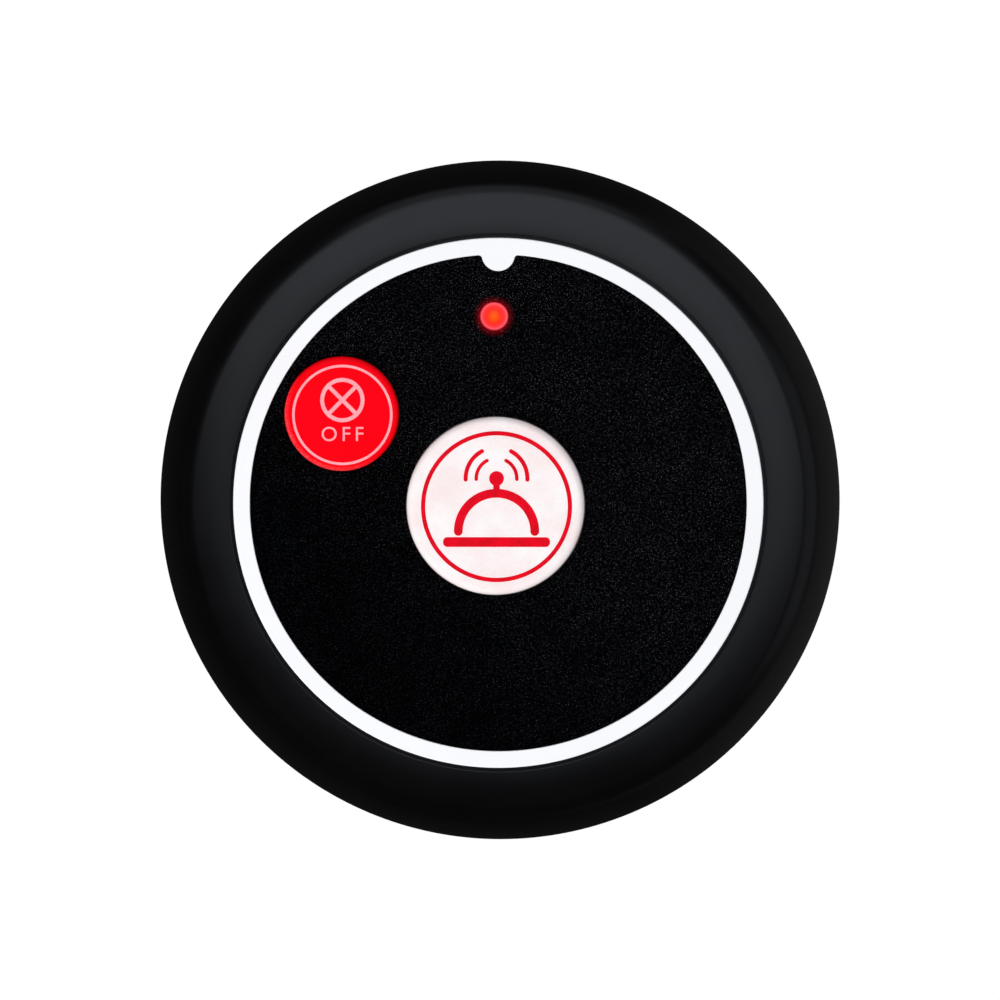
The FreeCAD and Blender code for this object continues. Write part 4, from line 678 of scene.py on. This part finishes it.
keySize = {
    "call": {"x": -0.29, "y": -0.3, "radius": 9.65, "top": 16.88, "bevel": 0.74, "flange": 10.9,
             "cavity": 8.3, "tabReach": 12.0, "tabSide": 1, "sleeveWall": 1.0},
    "cancel": {"x": -16.99, "y": 9.68, "radius": 6.2, "top": 16.7, "bevel": 0.58, "flange": 7.05,
               "cavity": 4.9, "tabReach": 7.9, "tabSide": -1, "sleeveWall": 0.75},
}
faceSize = {
    "radius": 26.98, "notch": 1.8, "corner": 0.4, "play": 0.04, "floor": 15.5, "thickness": 0.3, "edge": 0.05,
    "holePlay": 0.25, "lampHole": 1.62, "filmHolePlay": 0.1, "filmLampHole": 1.54, "recessRound": 0.06,
    "discRadius": 28.78, "discBottom": 14.1, "discTop": 15.9, "discRound": 0.12,
    "sleevePlay": 0.3, "sleeveDepth": 1.9, "sleeveRound": 0.1, "tabRoom": 1.45, "collar": (1.95, 2.8),
    "collarDepth": 1.6, "hookAngle": 15.0, "hookInner": 26.3, "hookOuter": 27.5, "hookReach": 28.5,
    "hookFoot": 11.6, "catch": 12.7, "catchEdge": 12.3, "hookWidth": 5.0, "stopKey": (27.3, 28.6, 12.9),
    "stopWidth": 2.6, "stopAngle": 60.0,
}


def faceHoles(play, lampHole):
    # the keys' holes, wider than the keys by the play all round, and the lamp's hole
    holes = [circleLoop(k["radius"] + play, k["x"], k["y"]) for k in keySize.values()]
    return holes + [circleLoop(lampHole, lampSize["x"], lampSize["y"], 64)]


def discShells(s):
    # a disc with a recess in its top for the film, and holes through the recess's floor. Under it stand a
    # sleeve round each key, open where the key's tab goes through, a collar round the lamp, four hooks with
    # barbs and a stop key
    bottom, into = s["discBottom"], s["discBottom"] + overlap
    recessLoop = faceLoop(s["radius"], s["notch"], s["corner"], s["radius"])[::-1]
    holeWall = edgeProfile(bottom, s["floor"])
    rimLoop = circleLoop(s["discRadius"], count=rimPoints)
    walls = [(rimLoop, edgeProfile(bottom, s["discTop"], s["discRound"])),
             (recessLoop, edgeProfile(s["floor"], s["discTop"], s["recessRound"], ways=(-1, 1)))]
    walls += [(hole[::-1], holeWall) for hole in faceHoles(s["holePlay"], s["lampHole"])]
    rim, recess, *holes = range(len(walls))
    shells = [walledShell(walls, [[(rim, 1), (recess, 1)], [(recess, 0)] + [(hole, 1) for hole in holes],
                                  [(rim, 0)] + [(hole, 0) for hole in holes]])]
    for k in keySize.values():
        inner = k["flange"] + s["sleevePlay"]
        half = 180 - math.degrees(math.asin(s["tabRoom"] / inner))
        middle = 180 if k["tabSide"] > 0 else 0
        sleeve = sectorLoop(inner, inner + k["sleeveWall"], middle, half, s["sleeveRound"], 96)
        sleeve += [k["x"], k["y"]]
        shells.append(plateShell(sleeve, [], edgeProfile(bottom - s["sleeveDepth"], into)))
    bore, collar = s["collar"]
    shells.append(tubeShell(lampSize["x"], lampSize["y"], collar, bore, bottom - s["collarDepth"], into))
    leg = [(s["hookInner"], s["hookFoot"]), (s["hookOuter"], s["hookFoot"]), (s["hookOuter"], into),
           (s["hookInner"], into)]
    barbRoot = s["hookOuter"] - overlap
    barb = [(barbRoot, s["hookFoot"]), (s["hookReach"], s["catchEdge"]), (s["hookReach"], s["catch"]),
            (barbRoot, s["catch"])]
    for _, _, angle in around(1.0, s["hookAngle"], 4):
        shells += [radialSlab(leg, s["hookWidth"], angle), radialSlab(barb, s["hookWidth"], angle)]
    inner, outer, low = s["stopKey"]
    stopKey = [(inner, low), (outer, low), (outer, into), (inner, into)]
    shells.append(radialSlab(stopKey, s["stopWidth"], s["stopAngle"]))
    return shells


def filmShells(s):
    # a thin plate, smaller than the recess by the play all round
    outline = faceLoop(s["radius"] - s["play"], s["notch"] + s["play"], s["corner"], s["radius"])
    profile = edgeProfile(s["floor"], s["floor"] + s["thickness"], s["edge"])
    return [plateShell(outline, faceHoles(s["filmHolePlay"], s["filmLampHole"]), profile)]


addPiece("whiteDisc", discShells(faceSize), finishes["white_abs"], "housing", ["trim_disc"])
addPiece("faceFilm", filmShells(faceSize), finishes["black_film"], "housing", ["face_overlay"])


# Keys: rounded cap, flange under the face, hollow with a stem, and a keying tab

moveSize = {"rest": 14.0, "flangeBottom": 12.9, "flangeRound": 0.15, "roof": 15.4, "stem": 1.6,
            "stemFoot": 15.1, "stemRound": 0.1, "mouthRound": 0.1, "roofRound": 0.2, "tabWidth": 2.4,
            "edge": 0.14, "ribWidth": 0.9, "ribFoot": 14.2, "ribStart": 2.2}


def keyShells(k, s):
    # a turned shell: the crown, whose edge is a quarter circle down to the side, the flange, the hollow and
    # the stem in its middle, with a keying tab on the flange and four ribs under the roof
    r, top, bevel = k["radius"], k["top"], k["bevel"]
    crown = arcPoints(r - bevel, top - bevel, bevel, 90, 0, 12)
    below = [
        (r, s["rest"]), (k["flange"], s["rest"]), (k["flange"], s["flangeBottom"]),
        (k["cavity"], s["flangeBottom"]), (k["cavity"], s["roof"]), (s["stem"], s["roof"]),
        (s["stem"], s["stemFoot"]), (0, s["stemFoot"]),
    ]
    rounds = [0] * (2 + len(crown)) + [s["flangeRound"]] * 2
    rounds += [s["mouthRound"], s["roofRound"], 0, s["stemRound"], 0]
    profile = roundedLoop(np.concatenate([[(0, top)], crown, below]), rounds)
    profile = np.insert(profile, 1, (r - bevel - s["edge"], top), 0)
    shells = [turnedShell(profile, k["x"], k["y"])]
    tabStart = k["flange"] - 2 * overlap
    tab = barLoop(k["x"] + k["tabSide"] * (tabStart + k["tabReach"]) / 2, k["y"], k["tabReach"] - tabStart,
                  s["tabWidth"])
    shells.append(plateShell(tab, [], edgeProfile(s["flangeBottom"], s["rest"])))
    ribEnd = k["cavity"] + overlap
    length = ribEnd - s["ribStart"]
    ribSide = edgeProfile(s["ribFoot"], s["roof"] + overlap)
    middle = (s["ribStart"] + ribEnd) / 2
    for shift in (-middle, middle):
        for rib in (barLoop(k["x"] + shift, k["y"], length, s["ribWidth"]),
                    barLoop(k["x"], k["y"] + shift, s["ribWidth"], length)):
            shells.append(plateShell(rib, [], ribSide))
    return shells


addPiece("callKey", keyShells(keySize["call"], moveSize), finishes["white_key"], "call_button",
         ["call_button"])
addPiece("cancelKey", keyShells(keySize["cancel"], moveSize), finishes["red_key"], "cancel_button",
         ["cancel_button"])


# Prints on the keys: thin closed layers of ink

inkSize = {"thickness": 0.02, "sink": 0.01, "under": 0.002}
callPrint = {
    "x": -0.16, "y": -0.35, "ring": 7.965, "ringWidth": 0.46, "dome": 4.15, "stroke": 0.95, "domeFoot": -2.7,
    "baseLength": 11.6, "baseWidth": 1.05, "baseLevel": -3.85, "baseRound": 0.45, "stemWidth": 0.7,
    "stemFoot": 1.725, "stemTop": 2.55, "stemRound": 0.02, "knob": 0.8, "knobLevel": 3.05,
    "waves": [(2.2, 0.38), (3.35, 0.45)], "waveLevel": 3.05, "waveMiddles": (30, 150), "waveHalf": 32,
}
cancelPrint = {
    "x": -16.89, "y": 9.58, "ring": 5.31, "ringWidth": 0.27, "signY": 11.195, "sign": 2.19, "signWidth": 0.42,
    "word": "OFF", "wordY": 7.42, "wordHeight": 1.6, "wordSpread": 1.35, "capitalShare": 0.72,
    "wordMerge": 0.0005,
}


def inkShell(outer, holes, level):
    # a layer of ink, sunk a little in the surface at that level
    low, high = level - inkSize["sink"], level + inkSize["thickness"]
    return plateShell(outer, holes, [(0, low), (0, high)])


def ringInk(x, y, radius, width, level):
    # a flat ring, half its width to each side of the radius
    return inkShell(circleLoop(radius + width / 2, x, y), [circleLoop(radius - width / 2, x, y)], level)


def callPrintShells(p, level):
    # a ring, and a counter bell in plain strokes with two sound arcs on each side of its knob. The stem runs
    # into the knob and the dome, so it lies a little lower, and no two faces share a place
    x, y = p["x"], p["y"]
    loops = [bandLoop(x, y + p["domeFoot"], p["dome"], p["stroke"], 0, 180),
             barLoop(x, y + p["baseLevel"], p["baseLength"], p["baseWidth"], 0, p["baseRound"]),
             circleLoop(p["knob"], x, y + p["knobLevel"], tubePoints)]
    for radius, width in p["waves"]:
        for middle in p["waveMiddles"]:
            start, end = middle - p["waveHalf"], middle + p["waveHalf"]
            loops.append(bandLoop(x, y + p["waveLevel"], radius, width, start, end, 24))
    shells = [ringInk(x, y, p["ring"], p["ringWidth"], level)] + [inkShell(loop, [], level) for loop in loops]
    stem = barLoop(x, y + (p["stemTop"] + p["stemFoot"]) / 2, p["stemWidth"], p["stemTop"] - p["stemFoot"], 0,
                   p["stemRound"])
    return shells + [inkShell(stem, [], level - inkSize["under"])]


def cancelPrintShells(p, level):
    # two rings, and a diagonal cross in the small one. With a the reach and h half the width, both over the
    # root of 2, its arms end at (a + h, a - h) and so on, and meet at (2h, 0) and so on
    shells = [ringInk(p["x"], p["y"], p["ring"], p["ringWidth"], level),
              ringInk(p["x"], p["signY"], p["sign"], p["signWidth"], level)]
    a, h = p["sign"] / math.sqrt(2), p["signWidth"] / 2 / math.sqrt(2)
    arm = np.array([(2 * h, 0), (a + h, a - h), (a - h, a + h)])
    quarter = np.array([(0, 1), (-1, 0)])
    cross = np.concatenate([arm @ np.linalg.matrix_power(quarter, times) for times in range(4)])
    return shells + [inkShell(cross + [p["x"], p["signY"]], [], level - inkSize["under"])]


def wordPiece(name, p, level, material, body):
    # the word as closed letters: a text curve with thickness, made a mesh and put in place
    curve = bpy.data.curves.new(name, "FONT")
    curve.body = p["word"]
    curve.size = p["wordHeight"] * mm / p["capitalShare"]
    curve.align_x = "CENTER"
    curve.align_y = "CENTER"
    curve.space_character = p["wordSpread"]
    curve.extrude = (inkSize["thickness"] + inkSize["sink"]) / 2 * mm
    source = bpy.data.objects.new(name + "Curve", curve)
    mesh = bpy.data.meshes.new_from_object(source)
    bpy.data.objects.remove(source)
    mesh.name = name
    facedOutward(mesh, p["wordMerge"])
    middle = level + (inkSize["thickness"] - inkSize["sink"]) / 2
    mesh.transform(Matrix.Translation((p["x"] * mm, p["wordY"] * mm, middle * mm)))
    placePiece(name, mesh, material, body)


callTop, cancelTop = keySize["call"]["top"], keySize["cancel"]["top"]
addPiece("callPrint", callPrintShells(callPrint, callTop), finishes["red_ink"], "call_button")
addPiece("cancelPrint", cancelPrintShells(cancelPrint, cancelTop), finishes["pink_ink"], "cancel_button")
wordPiece("cancelWord", cancelPrint, cancelTop, finishes["pink_ink"], "cancel_button")
print("face and keys made")


# Lamp

def lampShells(s):
    # a turned shell: a half round dome on a flange
    dome = arcPoints(0, s["top"] - s["radius"], s["radius"], 90, 0, 14)
    flange = [(s["radius"], s["flangeTop"]), (s["flange"], s["flangeTop"]), (s["flange"], s["base"]),
              (0, s["base"])]
    return [turnedShell(np.concatenate([[(0, s["top"])], dome[1:], flange]), s["x"], s["y"], s["segments"])]


addPiece("lampBody", lampShells(lampSize), finishes["lamp_epoxy"], "housing",
         ["indicator_lamp"])


# Base that stays on the table, and the rubber ring under it

baseSize = {
    "radius": 31.2, "bottom": 0.6, "floor": 2.0, "wall": 29.4, "wallTop": 4.6, "edgeRound": 0.35,
    "padInner": 20.4, "padOuter": 28.0, "padPlay": 0.2, "padHeight": 1.0, "padRound": 0.12,
    "holeOffset": 14.0, "hole": 1.9, "seat": 3.6, "seatLevel": 1.8, "boss": 4.5, "bossTop": 3.0,
    "gripInner": 10.5, "gripOuter": 17.5, "gripHalf": 30.0, "gripDepth": 0.6, "gripRound": 1.2,
    "grips": (90, 270), "lug": 32.8, "lugBottom": 3.4, "lugMiddle": 30.0, "lugHalf": 9.0, "lugRound": 0.1,
    "topRound": 0.2, "wallRound": 0.1, "seatRound": 0.15, "bossRound": 0.2,
}


def baseShells(s):
    # a dish whose walls are loops carried up edge profiles, closed by flat faces: the rim's top, the floor
    # inside, the underside, the groove's roof, and in each screw hole and grip its own. Three lugs stand
    # out from the wall
    walls, caps = [], []

    def addWall(loop, bottom, top, rounding=0.0, foot=0.0, ways=(1, 1)):
        walls.append((loop, edgeProfile(bottom, top, rounding, foot, ways)))
        return len(walls) - 1

    bottom, inward, outward = s["bottom"], (1, -1), (-1, 1)
    rimLoop = circleLoop(s["radius"], count=rimPoints)
    rim = addWall(rimLoop, bottom, s["wallTop"], s["topRound"], s["edgeRound"])
    dish = addWall(circleLoop(s["wall"], count=rimPoints)[::-1], s["floor"], s["wallTop"], s["wallRound"], 0,
                   outward)
    grooveOuter = circleLoop(s["padOuter"] + s["padPlay"], count=rimPoints)[::-1]
    grooveInner = circleLoop(s["padInner"] - s["padPlay"], count=rimPoints)
    outer = addWall(grooveOuter, bottom, s["padHeight"], ways=inward)
    inner = addWall(grooveInner, bottom, s["padHeight"], ways=inward)
    under, floor = [(inner, 0)], [(dish, 0)]
    for x in (s["holeOffset"], -s["holeOffset"]):
        hole = addWall(circleLoop(s["hole"], x, 0, 64)[::-1], bottom, s["seatLevel"])
        seat = addWall(circleLoop(s["seat"], x, 0, 96)[::-1], s["seatLevel"], s["bossTop"], s["seatRound"], 0,
                       outward)
        boss = addWall(circleLoop(s["boss"], x, 0, 96), s["floor"], s["bossTop"], s["bossRound"], 0, outward)
        under.append((hole, 0))
        floor.append((boss, 0))
        caps += [[(hole, 1), (seat, 0)], [(seat, 1), (boss, 1)]]
    for middle in s["grips"]:
        grip = sectorLoop(s["gripInner"], s["gripOuter"], middle, s["gripHalf"], s["gripRound"])
        pocket = addWall(grip[::-1], bottom, bottom + s["gripDepth"], ways=inward)
        under.append((pocket, 0))
        caps.append([(pocket, 1)])
    caps += [[(rim, 1), (dish, 1)], [(rim, 0), (outer, 0)], [(outer, 1), (inner, 1)], under, floor]
    shells = [walledShell(walls, caps)]
    lugSide = edgeProfile(s["lugBottom"], s["wallTop"], s["lugRound"], s["lugRound"])
    lugRoot = s["radius"] - 2 * overlap
    for third in thirds:
        lug = sectorLoop(lugRoot, s["lug"], s["lugMiddle"] + third, s["lugHalf"], s["lugRound"])
        shells.append(plateShell(lug, [], lugSide))
    return shells


def padShells(s):
    # a rectangle with rounded corners, turned round the middle
    corners = [(s["padInner"], 0), (s["padOuter"], 0), (s["padOuter"], s["padHeight"]),
               (s["padInner"], s["padHeight"])]
    return [turnedShell(roundedLoop(corners, [s["padRound"]] * 4, 4), segments=rimPoints)]


addPiece("baseDisc", baseShells(baseSize), finishes["black_abs"], "base", ["base_plate"])
addPiece("rubberRing", padShells(baseSize), finishes["rubber_pad"], "base", ["anti_slip_ring"])
print("base made")


# Studio

# distance, floorSize and glossRightStart are in metres, the other lengths in millimetres
studio = {
    "tilt": 2.8, "tiltWay": (0.51, 0.86), "distance": 2.5, "pixelsPerMm": 9.188, "pictureSize": 1000,
    "aim": (0.0, 0.0, 8.1), "sensor": 36.0, "clip": (0.1, 50), "floorDrop": 0.15, "floorSize": 12.0,
    "floorColour": "#f4f4f4", "ambient": 0.5, "glossOverhead": 0.012, "glossHorizon": 0.03,
    "glossFloor": 0.015, "glossRight": 0.07, "glossRightStart": (0.02, 0.05), "glossUnder": 0.6,
    "underRadius": 36.0, "floorWhite": 1.03, "floorShadow": 0.05,
}
softboxes = {
    # centre and size in metres; each is level or faces the button. The last entry: seen in gloss
    "topSoftbox": {"centre": (-0.012, 0.335, 0.5), "size": (0.53, 0.57), "level": True, "radiance": 0.88,
                   "gloss": True},
    "sideSoftbox": {"centre": (0.125, 0.055, 0.5), "size": (0.22, 0.26), "level": True, "radiance": 0.66,
                    "gloss": True},
    "leftSoftbox": {"centre": (-0.12, 0.03, 0.5), "size": (0.14, 0.12), "level": True, "radiance": 0.5,
                    "gloss": True},
    "backFill": {"centre": (0.0, 1.0, 0.4), "size": (1.0, 0.6), "level": False, "radiance": 0.32,
                 "gloss": True},
    "rightFill": {"centre": (0.7, -0.02, 0.36), "size": (0.7, 0.8), "level": False, "radiance": 0.22,
                  "gloss": True},
    "frontKey": {"centre": (-0.3, -0.44, 0.45), "size": (0.35, 0.35), "level": False, "radiance": 7.4,
                 "gloss": False},
}
softboxTint = (0.86, 0.9, 1.0)


def addCamera(s):
    # a long lens: focal length = sensor * distance / width of the picture at the object. It looks down at
    # the aim from the distance, leaning by the tilt towards tiltWay
    tilt = math.radians(s["tilt"])
    way = Vector((*s["tiltWay"], 0)).normalized() * math.sin(tilt)
    back = (way + Vector((0, 0, math.cos(tilt)))).normalized()
    right = Vector((0, 1, 0)).cross(back).normalized()
    up = back.cross(right)
    camera = bpy.data.cameras.new("pictureCamera")
    camera.sensor_width = s["sensor"]
    camera.lens = camera.sensor_width * s["distance"] / (s["pictureSize"] / s["pixelsPerMm"] * mm)
    camera.clip_start, camera.clip_end = s["clip"]
    holder = bpy.data.objects.new("pictureCamera", camera)
    bpy.context.scene.collection.objects.link(holder)
    place = Vector(s["aim"]) * mm + back * s["distance"]
    turnMatrix = Matrix((right, up, back)).transposed().to_4x4()
    holder.matrix_world = Matrix.Translation(place) @ turnMatrix
    bpy.context.scene.camera = holder


def addSoftbox(name, s):
    # a rectangle that shines down or towards the button; its power = radiance * pi * its area
    place = Vector(s["centre"])
    way = Vector((0, 0, 1)) if s["level"] else place.normalized()
    light = bpy.data.lights.new(name, "AREA")
    light.shape, light.size, light.size_y = "RECTANGLE", *s["size"]
    light.energy = s["radiance"] * math.pi * s["size"][0] * s["size"][1]
    light.color = softboxTint if s["gloss"] else (1, 1, 1)
    holder = bpy.data.objects.new(name, light)
    bpy.context.scene.collection.objects.link(holder)
    across = Vector((0, 1, 0)).cross(way).normalized()
    axes = Matrix((across, way.cross(across), way)).transposed().to_4x4()
    holder.matrix_world = Matrix.Translation(place) @ axes
    holder.visible_camera = False
    holder.visible_glossy = s["gloss"]


def levelByRay(tree, path, ambient, glossy, seen):
    # a light level by the kind of ray: glossy rays take glossy, camera rays and rays through glass take
    # seen, and the rest take ambient
    level = addNode(tree, "Mix", {0: path.outputs["Is Glossy Ray"], 2: ambient, 3: glossy}, data_type="FLOAT")
    straight = addNode(tree, "Math", [path.outputs["Is Camera Ray"], path.outputs["Is Transmission Ray"]],
                       operation="MAXIMUM")
    return addNode(tree, "Mix", {0: straight, 2: level, 3: seen}, data_type="FLOAT")


def addRoom(s):
    # the room is white to the camera and through glass, and an even soft light for matt surfaces. In gloss it
    # is a dark ceiling over a dim horizon, as the photographed black plastic shows
    world = bpy.data.worlds.new("softRoom")
    bpy.context.scene.world = world
    world.use_nodes = True
    tree = world.node_tree
    tree.nodes.clear()
    path = addNode(tree, "LightPath")
    way = addNode(tree, "TexCoord").outputs["Generated"]
    height = addNode(tree, "SeparateXYZ", [way]).outputs[2]
    reflected = addNode(tree, "MapRange", [height, 0.0, 0.5, s["glossHorizon"], s["glossOverhead"]])
    level = levelByRay(tree, path, s["ambient"], reflected, 1.0)
    room = addNode(tree, "Background", {"Color": (1, 1, 1, 1), "Strength": level})
    addNode(tree, "OutputWorld", {"Surface": room})


def addFloor(s):
    # a pale sheet: the camera sees it nearly white with the button's soft shadow on it, and it gives the
    # underside an even glow. In gloss it is dim, lighter to the right and under the button. From below it
    # is clear
    half, level = s["floorSize"] / 2, -s["floorDrop"] * mm
    corners = [(-half, -half, level), (half, -half, level), (half, half, level), (-half, half, level)]
    mesh = bpy.data.meshes.new("paleFloor")
    mesh.from_pydata(corners, [], [(0, 1, 2, 3)])
    floor = bpy.data.objects.new("paleFloor", mesh)
    bpy.context.scene.collection.objects.link(floor)
    material = bpy.data.materials.new("palePaper")
    material.use_nodes = True
    tree = material.node_tree
    tree.nodes.clear()
    path = addNode(tree, "LightPath")
    sheet = addNode(tree, "BsdfDiffuse", {"Color": linearColour(s["floorColour"])})
    place = addNode(tree, "TexCoord").outputs["Object"]
    across = addNode(tree, "SeparateXYZ", [place])
    beside = addNode(tree, "MapRange", [across, *s["glossRightStart"], s["glossFloor"], s["glossRight"]])
    away = addNode(tree, "VectorMath", [place], operation="LENGTH").outputs["Value"]
    edge = s["underRadius"] * mm
    under = addNode(tree, "MapRange", [away, edge, edge + mm, 1, 0])
    reflected = addNode(tree, "Mix", {0: under, 2: beside, 3: s["glossUnder"]}, data_type="FLOAT")
    glowLevel = levelByRay(tree, path, s["ambient"], reflected, s["floorWhite"])
    glow = addNode(tree, "Emission", {"Color": (1, 1, 1, 1), "Strength": glowLevel})
    share = addNode(tree, "MapRange", [path.outputs["Is Camera Ray"], 0, 1, 0, s["floorShadow"]])
    shaded = addNode(tree, "MixShader", [share, glow, sheet])
    clear = addNode(tree, "BsdfTransparent")
    facing = addNode(tree, "NewGeometry").outputs["Backfacing"]
    whole = addNode(tree, "MixShader", [facing, shaded, clear])
    addNode(tree, "OutputMaterial", {"Surface": whole})
    mesh.materials.append(material)


addCamera(studio)
for name, settings in softboxes.items():
    addSoftbox(name, settings)
addRoom(studio)
addFloor(studio)
bpy.context.scene.view_settings.view_transform = "Standard"
print("studio made")
